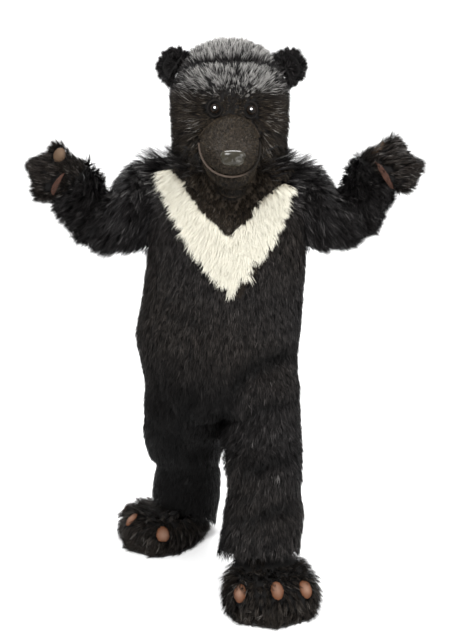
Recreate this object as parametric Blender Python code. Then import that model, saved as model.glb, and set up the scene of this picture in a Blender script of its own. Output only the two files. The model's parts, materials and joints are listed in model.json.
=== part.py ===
"""A black bear fursuit, worn and hollow: suit, head, paw gloves and foot paws.

Metres, +Z up. The front faces -Y, and left and right are the wearer's, so left is +X. Heights in the
tables are above the floor. The origin is where the shoulders carry the suit.
"""
import math

import bmesh
import bpy
import numpy as np
from mathutils import Vector
from mathutils.bvhtree import BVHTree

# Driving dimensions
SHOULDER_HEIGHT = 1.46     # from the floor up to the origin
CLOTH_WALL = 0.003         # fur fabric of the suit, gloves and neck skirt
FOOT_WALL = 0.005          # fur fabric over foam
HEAD_WALL = 0.008          # fur fabric over the foam of the head
SEAM_GAP = 0.0003          # between two pieces that are sewn together
LAY_GAP = 0.0004           # between a piece and the panel that it lies on
PANEL_COLUMNS = 7          # facets of a suit panel from its centre line to its side seam
ARMHOLE_ROWS = 8           # facets of half an armhole
TORSO_HEIGHTS = (1.175, 1.100, 1.030, 0.960, 0.900, 0.850, 0.810, 0.770, 0.735, 0.700)
CROTCH_ROWS = 4
LEG_ROWS = 15
HIP_ROW = ARMHOLE_ROWS + len(TORSO_HEIGHTS) - 1    # the seam between a trunk panel and a leg panel
SLEEVE_SIDES = 2 * ARMHOLE_ROWS
SIDES = {"left": 1, "right": -1}

# Suit outline: x of both edges and of the centre seam, and how far the front and back stand out
TORSO = {
    "height": (0.600, 0.700, 0.757, 0.817, 0.877, 0.921, 0.966, 1.025, 1.083, 1.175),
    "x_right": (-0.312, -0.308, -0.317, -0.327, -0.333, -0.326, -0.316, -0.306, -0.298, -0.288),
    "x_left": (0.270, 0.266, 0.258, 0.264, 0.270, 0.275, 0.277, 0.281, 0.285, 0.290),
    "x_seam": (-0.015, -0.014, -0.012, -0.010, -0.008, -0.006, -0.004, 0.000, 0.006, 0.014),
    "front": (0.200, 0.192, 0.192, 0.195, 0.197, 0.195, 0.192, 0.188, 0.186, 0.184),
    "back": (0.205, 0.205, 0.200, 0.192, 0.184, 0.176, 0.170, 0.166, 0.165, 0.165),
}
TORSO_POWER = 2.4
UNDERARM_HEIGHT = 1.175
HIP_HEIGHT = 0.700
NECK_HALF_WIDTH = 0.13
NECK_HEIGHT = 1.515
SHOULDER_TIP = {"left": 1.480, "right": 1.500}
NECK_DROP = {"front": 0.19, "back": 0.09}      # share of the way from the shoulder to the underarm
ARMHOLE_BITE = 0.55                            # radians that the armhole cuts into each panel
CROTCH = (-0.015, -0.010, 0.585)

# Leg outlines: inner and outer edge, middle in depth, half depth, and the height of the hem
LEGS = {
    "left": {
        "height": (0.100, 0.130, 0.175, 0.231, 0.284, 0.337, 0.389, 0.441, 0.505, 0.600, 0.700),
        "inner": (-0.036, -0.035, -0.029, -0.018, -0.012, 0.000, 0.000, -0.004, -0.010, -0.012, -0.012),
        "outer": (0.258, 0.257, 0.262, 0.270, 0.273, 0.266, 0.270, 0.272, 0.272, 0.270, 0.266),
        "y_mid": (-0.246, -0.242, -0.234, -0.221, -0.206, -0.189, -0.170, -0.150, -0.120, -0.075, -0.045),
        "depth": (0.134, 0.134, 0.133, 0.136, 0.138, 0.133, 0.140, 0.146, 0.150, 0.156, 0.165),
        "hem": (0.148, 0.037, 0.0, -1.0),
    },
    "right": {
        "height": (0.050, 0.120, 0.193, 0.265, 0.341, 0.378, 0.434, 0.485, 0.552, 0.600, 0.700),
        "inner": (-0.040, -0.031, -0.022, -0.022, -0.026, -0.022, -0.021, -0.020, -0.019, -0.018, -0.018),
        "outer": (-0.280, -0.292, -0.302, -0.292, -0.287, -0.306, -0.318, -0.321, -0.314, -0.312, -0.308),
        "y_mid": (0.222, 0.212, 0.192, 0.172, 0.145, 0.125, 0.102, 0.080, 0.056, 0.038, 0.015),
        "depth": (0.128, 0.130, 0.134, 0.136, 0.136, 0.140, 0.145, 0.148, 0.152, 0.158, 0.170),
        "hem": (0.112, 0.070, -0.85, -0.50),
    },
}

# Folds of the suit: a trough or ridge between two points of the front view, moved in on its own face
FOLDS = (
    # face, x and height at one end, x and height at the other, depth in, half width
    ("front", 0.270, 0.835, 0.170, 0.795, 0.017, 0.036),
    ("front", 0.170, 0.795, 0.030, 0.715, 0.020, 0.036),
    ("front", 0.110, 0.680, 0.200, 0.705, -0.012, 0.050),
    ("front", -0.010, 0.560, 0.130, 0.600, 0.012, 0.020),
    ("front", 0.060, 0.520, 0.270, 0.560, 0.009, 0.020),
    ("front", -0.010, 0.400, 0.120, 0.415, 0.010, 0.020),
    ("front", 0.120, 0.340, 0.270, 0.375, 0.011, 0.020),
    ("front", -0.010, 0.285, 0.150, 0.255, 0.010, 0.020),
    ("front", -0.195, 0.960, -0.215, 0.700, 0.010, 0.022),
    ("front", -0.270, 0.840, -0.235, 0.520, 0.013, 0.022),
    ("front", -0.110, 0.880, -0.165, 0.600, 0.009, 0.026),
    ("front", -0.225, 0.600, -0.255, 0.330, 0.013, 0.022),
    ("front", -0.120, 0.480, -0.205, 0.300, 0.010, 0.024),
    ("back", -0.200, 0.780, -0.040, 0.690, 0.014, 0.026),
    ("back", 0.200, 0.760, 0.030, 0.680, 0.014, 0.026),
    ("back", 0.000, 0.430, 0.250, 0.465, 0.013, 0.022),
    ("back", 0.010, 0.330, 0.220, 0.300, 0.010, 0.022),
    ("back", -0.290, 0.400, -0.060, 0.440, 0.012, 0.022),
    ("back", -0.270, 0.270, -0.060, 0.250, 0.010, 0.022),
    ("back", -0.240, 1.060, -0.090, 0.960, 0.009, 0.026),
    ("back", 0.230, 1.040, 0.080, 0.950, 0.009, 0.026),
)

# Sleeve sections in the front view, from the armhole to the cuff: upper and lower edge, depth
SLEEVES = {
    "left": {
        "x_top": (0.318, 0.345, 0.370, 0.386, 0.395, 0.404, 0.417, 0.432, 0.442),
        "z_top": (1.468, 1.446, 1.420, 1.402, 1.408, 1.426, 1.452, 1.482, 1.500),
        "x_low": (0.326, 0.358, 0.402, 0.457, 0.502, 0.531, 0.551, 0.566, 0.572),
        "z_low": (1.184, 1.176, 1.181, 1.198, 1.227, 1.271, 1.322, 1.370, 1.396),
        "y_mid": (0.010, 0.012, 0.010, 0.000, -0.018, -0.042, -0.066, -0.090, -0.104),
        "depth": (0.128, 0.128, 0.122, 0.112, 0.102, 0.094, 0.086, 0.078, 0.074),
    },
    "right": {
        "x_top": (-0.322, -0.355, -0.388, -0.407, -0.415, -0.425, -0.438, -0.451, -0.460),
        "z_top": (1.484, 1.462, 1.426, 1.392, 1.396, 1.411, 1.434, 1.460, 1.478),
        "x_low": (-0.326, -0.360, -0.408, -0.458, -0.499, -0.529, -0.556, -0.578, -0.588),
        "z_low": (1.181, 1.167, 1.166, 1.174, 1.199, 1.237, 1.274, 1.313, 1.340),
        "y_mid": (0.010, 0.012, 0.010, 0.000, -0.018, -0.042, -0.066, -0.090, -0.104),
        "depth": (0.128, 0.128, 0.122, 0.112, 0.102, 0.094, 0.086, 0.078, 0.074),
    },
}
SLEEVE_RINGS = 12
SLEEVE_FOLDS = (
    # share of the length at the upper and at the lower edge, depth in, half width as a share
    (0.30, 0.16, 0.010, 0.050),
    (0.52, 0.44, 0.013, 0.045),
    (0.66, 0.72, 0.008, 0.045),
)

# Cream chest V in the front view: its ragged outer edge from the right end round the point to the left
CHEST_V_EDGE = (
    # x, height
    (-0.214, 1.478), (-0.222, 1.440), (-0.212, 1.388), (-0.180, 1.330), (-0.124, 1.238), (-0.044, 1.122),
    (0.029, 1.050), (0.074, 1.112), (0.124, 1.176), (0.176, 1.268), (0.212, 1.366), (0.213, 1.412),
)
CHEST_V_THICKNESS = 0.005
CHEST_V_LOCK = 0.009       # how far every second lock of the ragged edge stands out
CHEST_V_LOCKS = 44
CHEST_V_INSET = 0.004      # between the bib and the inner edge of the V

# Head: centre line, radii and lower edges
HEAD_X = 0.011
HEAD_Y = 0.030
HEAD_TOP = 1.906
HEAD_MID = 1.660
HEAD_HALF_WIDTH = 0.210
HEAD_FRONT = 0.200
HEAD_BACK = 0.195
HEAD_POWER = 2.35
HEAD_TAPER = 0.040
HEAD_SIDES = 28
CROWN_SEAM = (1.782, 0.024)      # height at the sides, and how far it arches up over the forehead
FACE_EDGE = {"front": 1.446, "side": 1.522, "back": 1.480}
EYES = {"left": (0.098, 1.647), "right": (-0.050, 1.653)}
EYE_RADIUS = 0.0158
EYE_DOME = 0.014
LID_RADIUS = 0.0225
LID_TUBE = 0.0048
EARS = {"left": (0.204, -0.040, 1.797), "right": (-0.169, -0.040, 1.800)}
EAR_RADIUS = 0.061
EAR_THICKNESS = 0.018
EAR_CUP = 0.016

# Muzzle and jaw: mouth corners, and the profile on the middle line from the brow down to the chin
MOUTH_LEFT = (0.106, -0.130, 1.564)
MOUTH_RIGHT = (-0.090, -0.130, 1.562)
MUZZLE_PROFILE = {
    "y": (-0.154, -0.215, -0.262, -0.308, -0.330, -0.322, -0.298),
    "z": (1.630, 1.606, 1.558, 1.518, 1.486, 1.455, 1.434),
}
JAW_PROFILE = {
    "y": (-0.292, -0.286, -0.258, -0.198, -0.130),
    "z": (1.430, 1.411, 1.396, 1.390, 1.400),
}
MUZZLE_POWER = (1.35, 2.8)   # roundness in the front view, at the first and at the last row
MUZZLE_COLUMNS = 14
MUZZLE_ROWS = 9
JAW_ROWS = 5
LIP_RADIUS = 0.0035
NOSE = {"centre": (0.020, -0.330, 1.486), "half_width": 0.043, "half_height": 0.026, "half_depth": 0.024}

# Neck skirt: its lower edge on the suit, from the front point round the right side to the back
SKIRT_EDGE = {
    "angle": (-180, -150, -120, -90, -66, -50, -32, -14, 0, 14, 32, 50, 66, 90, 120, 150, 180),
    "x": (0.00, -0.10, -0.18, -0.214, -0.198, -0.152, -0.092, -0.030, 0.022,
          0.066, 0.120, 0.164, 0.198, 0.222, 0.19, 0.10, 0.00),
    "y": (0.20, 0.17, 0.10, 0.02, -0.06, -0.10, -0.13, -0.15, -0.16,
          -0.15, -0.13, -0.10, -0.06, 0.02, 0.10, 0.17, 0.20),
    "z": (1.40, 1.41, 1.45, 1.490, 1.478, 1.430, 1.374, 1.326, 1.293,
          1.326, 1.366, 1.400, 1.430, 1.48, 1.45, 1.41, 1.40),
}
SKIRT_ROWS = 4
SKIRT_CLEAR = 0.0016        # room under the skirt, over the facets of the suit
TORSO_HEART = (0.0, 0.0, 1.27)   # a point inside the suit from which the chest and shoulders show

# Gloves: a path from the cuff to the finger tips, the way the palm faces, and the three fingers
GLOVES = {
    "left": {"wrist": (0.522, -0.122, 1.454), "palm": (0.548, -0.150, 1.462),
             "tip": (0.616, -0.178, 1.486),
             "faces": (-0.74, -0.60, 0.22), "finger_faces": (-0.93, -0.05, 0.30),
             "fingers": (-66, -14, 76), "pad": (-0.006, -0.034, 12)},
    "right": {"wrist": (-0.540, -0.123, 1.407), "palm": (-0.560, -0.150, 1.440),
              "tip": (-0.636, -0.180, 1.462),
              "faces": (0.05, -0.98, 0.10), "finger_faces": (0.05, -0.98, 0.10),
              "fingers": (-62, 2, 84), "pad": (-0.019, -0.030, 26)},
}
GLOVE_WIDTH = (0.088, 0.091, 0.094, 0.090, 0.072, 0.044)
GLOVE_THICKNESS = (0.064, 0.057, 0.052, 0.046, 0.038, 0.025)
FINGER_LOBE = 0.016
PAD_SIDES = 12
PALM_PAD = {"half_width": 0.048, "half_length": 0.018, "thickness": 0.004}
FINGER_PAD = {"half_width": 0.019, "half_length": 0.026, "thickness": 0.004}

# Foot paws: place of the ankle, the way the toes point, and the outline of the sole
FEET = {
    "left": {"ankle": (0.136, -0.240), "turn": 6.0},
    "right": {"ankle": (-0.180, 0.221), "turn": -52.0},
}
FOOT_TOE = 0.268           # from the ankle forward to the longest toe
FOOT_HEEL = 0.112          # from the ankle back to the heel
FOOT_HALF_WIDTH = 0.174
HEEL_HALF_WIDTH = 0.105
FOOT_HEIGHT = 0.142
SHAFT_RADIUS = 0.106
SHAFT_INSIDE = 0.050       # how far the shaft goes up inside the trouser leg
TOE_LOBE = 0.013
TOE_ANGLES = (-45, 0, 45)
SOLE_THICKNESS = 0.006
NAIL = {"half_width": 0.0215, "half_length": 0.030, "thickness": 0.005}
NAILS = {
    # ahead of the ankle, aside, height of the point they are laid on from, and the way they face
    "left": ((0.158, -0.096, 0.064, -20), (0.176, 0.002, 0.080, 0), (0.158, 0.080, 0.066, 18)),
    "right": ((0.150, -0.118, 0.060, -40), (0.176, -0.008, 0.078, 2), (0.142, 0.112, 0.058, 32)),
}

# Centre back zip
ZIP_HALF_WIDTH = 0.012
ZIP_TOP = 1.360
ZIP_BOTTOM = 0.780
ZIP_THICKNESS = 0.002

MATERIALS = {
    # name: base colour, roughness
    "black_fur": ((0.018, 0.016, 0.016), 0.75),
    "brown_fur": ((0.035, 0.025, 0.020), 0.80),
    "cream_fur": ((0.82, 0.79, 0.70), 0.80),
    "nose_gloss": ((0.030, 0.030, 0.032), 0.22),
    "eye_gloss": ((0.010, 0.008, 0.008), 0.05),
    "lip_suede": ((0.17, 0.10, 0.075), 0.60),
    "pad_suede": ((0.42, 0.23, 0.17), 0.75),
    "toe_suede": ((0.62, 0.40, 0.28), 0.70),
    "sole_rubber": ((0.035, 0.035, 0.035), 0.70),
    "zip_tape": ((0.020, 0.020, 0.022), 0.65),
}

trees = {}


def remove_old_objects():
    for old in list(bpy.data.objects):
        bpy.data.objects.remove(old, do_unlink=True)


def smooth(value, places, heights):
    """Read a table with a cubic curve through its points, level past both ends."""
    xs = np.asarray(places, float)
    ys = np.asarray(heights, float)
    value = np.clip(np.asarray(value, float), xs[0], xs[-1])
    slopes = np.gradient(ys, xs)
    index = np.clip(np.searchsorted(xs, value, side="right") - 1, 0, len(xs) - 2)
    step = xs[index + 1] - xs[index]
    t = (value - xs[index]) / step
    first = (1 + 2 * t) * (1 - t) ** 2 * ys[index] + t * (1 - t) ** 2 * step * slopes[index]
    second = t * t * (3 - 2 * t) * ys[index + 1] + t * t * (t - 1) * step * slopes[index + 1]
    return first + second


def along(table, name, share):
    """Read a column whose rows are evenly spaced, at a share of its length."""
    rows = table[name]
    return smooth(np.asarray(share, float) * (len(rows) - 1), range(len(rows)), rows)


def smoothstep(value):
    value = np.clip(value, 0.0, 1.0)
    return value * value * (3 - 2 * value)


def bump(distance, half_width):
    return np.exp(-(distance / half_width) ** 2)


def stack(x, y, z):
    return np.stack(np.broadcast_arrays(x, y, z), axis=-1).astype(float)


def segment_distance(x, z, x0, z0, x1, z1):
    dx, dz = x1 - x0, z1 - z0
    share = np.clip(((x - x0) * dx + (z - z0) * dz) / (dx * dx + dz * dz), 0, 1)
    return np.hypot(x - x0 - share * dx, z - z0 - share * dz)


# The suit's surface


def fold_suit(points, y_mid):
    """Push the cloth in along each fold, only on the face that the fold is on."""
    x, y, z = points[..., 0], points[..., 1].copy(), points[..., 2]
    facing = (points[..., 1] - y_mid) / 0.09
    for face, x0, z0, x1, z1, depth, half_width in FOLDS:
        sign = -1 if face == "front" else 1
        weight = smoothstep(sign * facing)
        y -= sign * depth * weight * bump(segment_distance(x, z, x0, z0, x1, z1), half_width)
    return stack(x, y, z)


def torso_section(side, angle, height):
    """Half a rounded section, from the front centre (angle 0) to the back centre (angle pi)."""
    edge = smooth(height, TORSO["height"], TORSO["x_" + side])
    seam = smooth(height, TORSO["height"], TORSO["x_seam"])
    front = smooth(height, TORSO["height"], TORSO["front"])
    back = smooth(height, TORSO["height"], TORSO["back"])
    leg = LEGS[side]
    side_y = leg["y_mid"][-2] * smoothstep((0.95 - height) / 0.35)
    across = np.abs(np.sin(angle)) ** (2 / TORSO_POWER)
    level = np.abs(np.cos(angle)) ** (2 / TORSO_POWER)
    depth = np.where(angle <= math.pi / 2, -front, back)
    return seam + (edge - seam) * across, side_y * across ** 2 + depth * level


def leg_section(side, angle, height):
    """A whole rounded section, from the inseam (angle 0) round the front to the inseam again."""
    leg = LEGS[side]
    inner = smooth(height, leg["height"], leg["inner"])
    outer = smooth(height, leg["height"], leg["outer"])
    y_mid = smooth(height, leg["height"], leg["y_mid"])
    depth = smooth(height, leg["height"], leg["depth"])
    turn = 2 * angle
    across = np.sign(np.cos(turn)) * np.abs(np.cos(turn)) ** 0.88
    level = np.sign(np.sin(turn)) * np.abs(np.sin(turn)) ** 0.88
    x = (inner + outer) / 2 + (inner - outer) / 2 * across
    y = y_mid - depth * level
    return x, y, y_mid


def upper_rows(side, angles, face):
    """Rows from the neckline and shoulder seam down to the underarm."""
    rows = []
    for row in range(ARMHOLE_ROWS):
        share = row / ARMHOLE_ROWS
        bite = ARMHOLE_BITE * math.sin(math.pi * share) ** 0.8
        start = 0.0 if face == "front" else math.pi
        angle = start + (angles - start) * (1 - bite / (math.pi / 2))
        x, y = torso_section(side, angle, UNDERARM_HEIGHT)
        neck = np.sqrt(np.clip(1 - (x / NECK_HALF_WIDTH) ** 2, 0, 1))
        first = NECK_DROP[face] * neck
        level = first + (1 - first) * share
        tip_share = np.clip((np.abs(x) - NECK_HALF_WIDTH) / (0.286 - NECK_HALF_WIDTH), 0, 1)
        top = NECK_HEIGHT + (SHOULDER_TIP[side] - NECK_HEIGHT) * tip_share
        ridge = (1 - (1 - np.clip(level / 0.85, 0, 1)) ** 2) ** 0.6
        rows.append(stack(x, y * ridge, top + (UNDERARM_HEIGHT - top) * level))
    return rows


def suit_panel(side, face):
    """A quarter of the coverall from the shoulder to the hem, and the axis points of its rows."""
    half = np.linspace(0, math.pi / 2, PANEL_COLUMNS + 1)
    angles = half if face == "front" else math.pi - half
    rows = upper_rows(side, angles, face)
    axis = [(SIDES[side] * 0.13, 0.0, row[:, 2].mean()) for row in rows]
    for height in TORSO_HEIGHTS:
        x, y = torso_section(side, angles, height)
        rows.append(fold_suit(stack(x, y, height), 0.0))
        axis.append((SIDES[side] * 0.13, 0.0, height))
    for share in np.arange(1, CROTCH_ROWS + 1) / CROTCH_ROWS:
        height = HIP_HEIGHT + (CROTCH[2] - HIP_HEIGHT) * share
        near = ((1 + np.cos(2 * angles)) / 2) ** 2
        torso_x, torso_y = torso_section(side, angles, height)
        leg_x, leg_y, y_mid = leg_section(side, angles, height)
        leg_x = leg_x + (CROTCH[0] - leg_x) * near * (np.abs(np.cos(angles)) > 0.999)
        leg_y = leg_y + (CROTCH[1] - y_mid) * near
        leg_z = height + (CROTCH[2] - height) * near
        turn = share * math.pi / 2
        x = torso_x + (leg_x - torso_x) * share
        y = torso_y + (leg_y - torso_y) * (1 - math.cos(turn))
        z = height + (leg_z - height) * math.sin(turn)
        rows.append(fold_suit(stack(x, y, z), y_mid * share))
        axis.append((SIDES[side] * 0.14, float(np.mean(y_mid)) * share, height))
    level, slope, slope_x, slope_y = LEGS[side]["hem"]
    facing_x = SIDES[side] * -np.cos(2 * angles)
    facing_y = -np.sin(2 * angles)
    hem = level + slope * (slope_x * facing_x + slope_y * facing_y)
    for share in np.arange(1, LEG_ROWS + 1) / LEG_ROWS:
        height = CROTCH[2] + (hem - CROTCH[2]) * share
        x, y, y_mid = leg_section(side, angles, height)
        near = ((1 + np.cos(2 * angles)) / 2) ** 2 * smoothstep(1 - share * 3.5)
        y = y + (CROTCH[1] - y_mid) * near
        rows.append(fold_suit(stack(x, y, height), y_mid))
        axis.append((float(np.mean(x)), float(np.mean(y_mid)), float(np.mean(height))))
    return np.array(rows), np.array(axis)


def sleeve_tube(side, armhole):
    """Rings from the armhole to the cuff; a ring runs top, front, bottom, back, top."""
    table = SLEEVES[side]
    turn = np.linspace(0, 2 * math.pi, SLEEVE_SIDES + 1)
    rings = [armhole]
    axis = [armhole[:-1].mean(axis=0)]
    for share in np.linspace(0, 1, SLEEVE_RINGS):
        top = np.array([along(table, "x_top", share), 0.0, along(table, "z_top", share)])
        low = np.array([along(table, "x_low", share), 0.0, along(table, "z_low", share)])
        centre = (top + low) / 2 + np.array([0.0, along(table, "y_mid", share), 0.0])
        back_lean = 0.35 * smoothstep(share * 1.4 - 0.4)
        depth = float(along(table, "depth", share)) * np.array([0.0, 1.0, back_lean])
        squash = np.ones_like(turn)
        for upper, lower, inward, half_width in SLEEVE_FOLDS:
            place = upper + (lower - upper) * (1 - np.cos(turn)) / 2
            squash -= inward / 0.1 * bump(share - place, half_width)
        across = np.outer(np.cos(turn) * squash, (top - low) / 2)
        rings.append(centre + across - np.outer(np.sin(turn) * squash, depth))
        axis.append(centre)
    return np.array(rings), np.array(axis)


# Walls and solids from grids of points


def outward_normals(grids, axes):
    """Point normals of several grids, averaged where points of the grids coincide."""
    normals = []
    for grid, axis in zip(grids, axes):
        down = np.gradient(grid, axis=0)
        across = np.gradient(grid, axis=1)
        normal = np.cross(across, down)
        length = np.linalg.norm(normal, axis=-1, keepdims=True)
        normal = normal / np.maximum(length, 1e-12) * (length > 1e-12)
        for row, beside in ((0, 1), (-1, -2)):
            if np.ptp(grid[row], axis=0).max() < 1e-6:
                normal[row] = normal[beside, :-1].mean(axis=0)
                normal[row] /= np.linalg.norm(normal[row, 0])
        if np.sum(normal * (grid - axis[:, None, :])) < 0:
            normal = -normal
        normals.append(normal)
    sums = {}
    for grid, normal in zip(grids, normals):
        for point, direction in zip(grid.reshape(-1, 3), normal.reshape(-1, 3)):
            key = tuple(np.round(point, 6))
            sums[key] = sums.get(key, 0.0) + direction
    result = []
    for grid in grids:
        total = np.array([sums[tuple(np.round(point, 6))] for point in grid.reshape(-1, 3)])
        total /= np.maximum(np.linalg.norm(total, axis=1, keepdims=True), 1e-12)
        result.append(total.reshape(grid.shape))
    return result


def draw_in(grid, normals, edges, amount):
    """Move the named edges of a grid into its own surface, which opens a seam gap."""
    moved = grid.copy()
    lines = {"top": (0, 1, 0), "bottom": (-1, -2, 0), "start": (0, 1, 1), "end": (-1, -2, 1)}
    for edge in edges:
        outer_index, inner_index, kind = lines[edge]
        line = grid[outer_index] if kind == 0 else grid[:, outer_index]
        inner = grid[inner_index] if kind == 0 else grid[:, inner_index]
        normal = normals[outer_index] if kind == 0 else normals[:, outer_index]
        inward = np.cross(normal, np.gradient(line, axis=0))
        inward *= np.sign(np.sum(inward * (inner - line), axis=1, keepdims=True))
        length = np.linalg.norm(inward, axis=1, keepdims=True)
        step = inward / np.maximum(length, 1e-9) * amount * (length > 1e-9)
        if kind == 0:
            moved[outer_index] += step
        else:
            moved[:, outer_index] += step
    for pole, beside in ((0, 1), (-1, -2)):
        if np.ptp(grid[pole], axis=0).max() < 1e-6:
            moved[pole] = grid[pole] + (moved[beside] - grid[beside])[[0, -1]].mean(axis=0)
    return moved


def close_wall(name, outer, inner, material, wraps=False):
    """A solid between two grids: both faces, and a rim round every open edge."""
    outer, inner = outer.copy(), inner.copy()
    if wraps:
        outer[:, -1] = outer[:, 0]
        inner[:, -1] = inner[:, 0]
    rows, columns = outer.shape[:2]
    points = np.concatenate([outer.reshape(-1, 3), inner.reshape(-1, 3)])
    offset = rows * columns
    faces = []
    for row in range(rows - 1):
        for column in range(columns - 1):
            a = row * columns + column
            b, c, d = a + 1, a + columns + 1, a + columns
            faces.append((a, b, c, d))
            faces.append((a + offset, d + offset, c + offset, b + offset))
    rims = []
    if np.ptp(outer[0], axis=0).max() > 1e-6:
        rims.append(range(columns))
    if np.ptp(outer[-1], axis=0).max() > 1e-6:
        rims.append([(rows - 1) * columns + column for column in reversed(range(columns))])
    if not wraps:
        rims.append([row * columns for row in reversed(range(rows))])
        rims.append([row * columns + columns - 1 for row in range(rows)])
    for rim in rims:
        rim = list(rim)
        for a, b in zip(rim[:-1], rim[1:]):
            faces.append((b, a, a + offset, b + offset))
    return add_solid(name, points, faces, material)


def close_surface(name, grid):
    """A solid from one grid that wraps round and ends in a pole at both ends."""
    rows, columns = grid.shape[:2]
    grid = grid.copy()
    grid[:, -1] = grid[:, 0]
    faces = []
    for row in range(rows - 1):
        for column in range(columns - 1):
            a = row * columns + column
            faces.append((a, a + 1, a + columns + 1, a + columns))
    return add_solid(name, grid.reshape(-1, 3), faces, "black_fur")


def add_solid(name, points, faces, material):
    mesh = bpy.data.meshes.new(name)
    work = bmesh.new()
    corners = [work.verts.new(tuple(float(value) for value in point)) for point in points]
    for face in faces:
        if len(set(face)) > 2:
            work.faces.new([corners[index] for index in face])
    bmesh.ops.remove_doubles(work, verts=work.verts, dist=2e-5)
    bmesh.ops.triangulate(work, faces=work.faces, quad_method="BEAUTY")
    bmesh.ops.recalc_face_normals(work, faces=work.faces)
    if work.calc_volume(signed=True) < 0:
        bmesh.ops.reverse_faces(work, faces=work.faces)
    trees[name] = BVHTree.FromBMesh(work)
    work.to_mesh(mesh)
    work.free()
    mesh.shade_smooth()
    mesh.set_sharp_from_angle(angle=math.radians(50))
    mesh.materials.append(bpy.data.materials[material])
    solid = bpy.data.objects.new(name, mesh)
    solid.parent = bpy.data.objects["shoulders"]
    solid.matrix_parent_inverse.identity()
    bpy.data.collections["fursuit"].objects.link(solid)
    return solid


def cloth(pieces, thickness, material):
    """Walls of cloth from outer grids that share their seams.

    Each piece is name, grid, axis, edges that are seams, and whether its columns wrap round."""
    normals = outward_normals([piece[1] for piece in pieces], [piece[2] for piece in pieces])
    walls = {}
    for (name, grid, _, seams, wraps), normal in zip(pieces, normals):
        outer = draw_in(grid, normal, seams, SEAM_GAP * 0.55)
        inner = draw_in(grid - normal * thickness, normal, seams, SEAM_GAP * 0.55)
        walls[name] = (outer, inner, normal, wraps)
        if material:
            close_wall(name, outer, inner, material, wraps)
    return walls


def lay_on(names, heart, points, gap):
    """Move points along the lines from a heart point, to just outside the named solids."""
    flat = np.asarray(points, float).reshape(-1, 3)
    centre = Vector(heart)
    result = np.empty_like(flat)
    for index, point in enumerate(flat):
        direction = (Vector(point) - centre).normalized()
        start = centre + direction * 1.2
        best = None
        for name in names:
            spot, normal, _, distance = trees[name].ray_cast(start, -direction)
            if spot is not None and (best is None or distance < best[0]):
                best = (distance, spot, max(0.5, abs(normal.dot(direction))))
        result[index] = best[1] + direction * (gap / best[2]) if best else point
    return result.reshape(np.shape(points))


def keep_outside(names, heart, points, gap):
    """Leave points that are clear of the named solids, and lift the others to just outside."""
    lifted = lay_on(names, heart, points, gap)
    centre = np.asarray(heart, float)
    inside = np.linalg.norm(points - centre, axis=-1) < np.linalg.norm(lifted - centre, axis=-1)
    return np.where(inside[..., None], lifted, points)


# Pieces


def make_suit():
    panels = {}
    for side in SIDES:
        for face in ("front", "back"):
            panels[face, side] = suit_panel(side, face)
    pieces = []
    seams = ("top", "start", "end")
    for (face, side), (grid, axis) in panels.items():
        trunk, leg = slice(0, HIP_ROW + 1), slice(HIP_ROW, None)
        pieces.append((f"suit_{face}_{side}", grid[trunk], axis[trunk], seams + ("bottom",), False))
        pieces.append((f"leg_{face}_{side}", grid[leg], axis[leg], seams, False))
    for side in SIDES:
        front = panels["front", side][0][:ARMHOLE_ROWS + 1, -1]
        back = panels["back", side][0][:ARMHOLE_ROWS + 1, -1]
        armhole = np.concatenate([front, back[::-1][1:]])
        rings, axis = sleeve_tube(side, armhole)
        pieces.append((f"sleeve_{side}", rings, axis, ("top",), True))
    walls = cloth(pieces, CLOTH_WALL, "black_fur")
    normals = outward_normals([piece[1] for piece in pieces], [piece[2] for piece in pieces])
    walls["panels"] = {}
    for (name, grid, _, _, _), normal in zip(pieces, normals):
        if name.startswith("suit"):
            walls["panels"][tuple(name.split("_")[1:])] = (grid, normal)
    return walls


def cut_from(name, grids, prism, thickness, material):
    """A piece that lies on a panel: the panel's own points moved out, cut to a prism's outline."""
    outer, normal = grids
    low = outer + normal * LAY_GAP
    high = outer + normal * (LAY_GAP + thickness)
    piece = close_wall(name, high, low, material)
    cut(piece, prism, "INTERSECT")
    return piece


def cut(piece, cutter, operation):
    """Apply one exact Boolean, and keep the cutter with the guides."""
    modifier = piece.modifiers.new(operation.lower(), "BOOLEAN")
    modifier.operation = operation
    modifier.solver = "EXACT"
    modifier.object = cutter
    bpy.context.view_layer.update()
    graph = bpy.context.evaluated_depsgraph_get()
    mesh = bpy.data.meshes.new_from_object(piece.evaluated_get(graph))
    piece.modifiers.clear()
    piece.data = mesh
    work = bmesh.new()
    work.from_mesh(mesh)
    bmesh.ops.dissolve_degenerate(work, dist=2e-5, edges=work.edges)
    bmesh.ops.triangulate(work, faces=work.faces)
    trees[piece.name] = BVHTree.FromBMesh(work)
    work.to_mesh(mesh)
    work.free()


def guide(solid):
    """Turn a solid into a cutter: drawn as a wire, left out of renders, in its own collection."""
    bpy.data.collections["fursuit"].objects.unlink(solid)
    bpy.data.collections["cutters"].objects.link(solid)
    solid.hide_render = True
    solid.display_type = "WIRE"
    return solid


def column_prism(name, ring, way, length):
    """A straight prism from a ring of points, along one direction."""
    count = len(ring)
    points = np.concatenate([ring, ring + np.asarray(way, float) * length])
    faces = [tuple(range(count)), tuple(count + index for index in reversed(range(count)))]
    for index in range(count):
        after = (index + 1) % count
        faces.append((index, index + count, after + count, after))
    return guide(add_solid(name, points, faces, "black_fur"))


def joined_panels(suit, face):
    """Both panels of one face as a single grid across the centre seam, with its normals."""
    grids = {side: suit["panels"][face, side] for side in SIDES}
    outer = np.concatenate([grids["right"][0][:, ::-1], grids["left"][0][:, 1:]], axis=1)
    normal = np.concatenate([grids["right"][1][:, ::-1], grids["left"][1][:, 1:]], axis=1)
    return outer, normal


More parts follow.
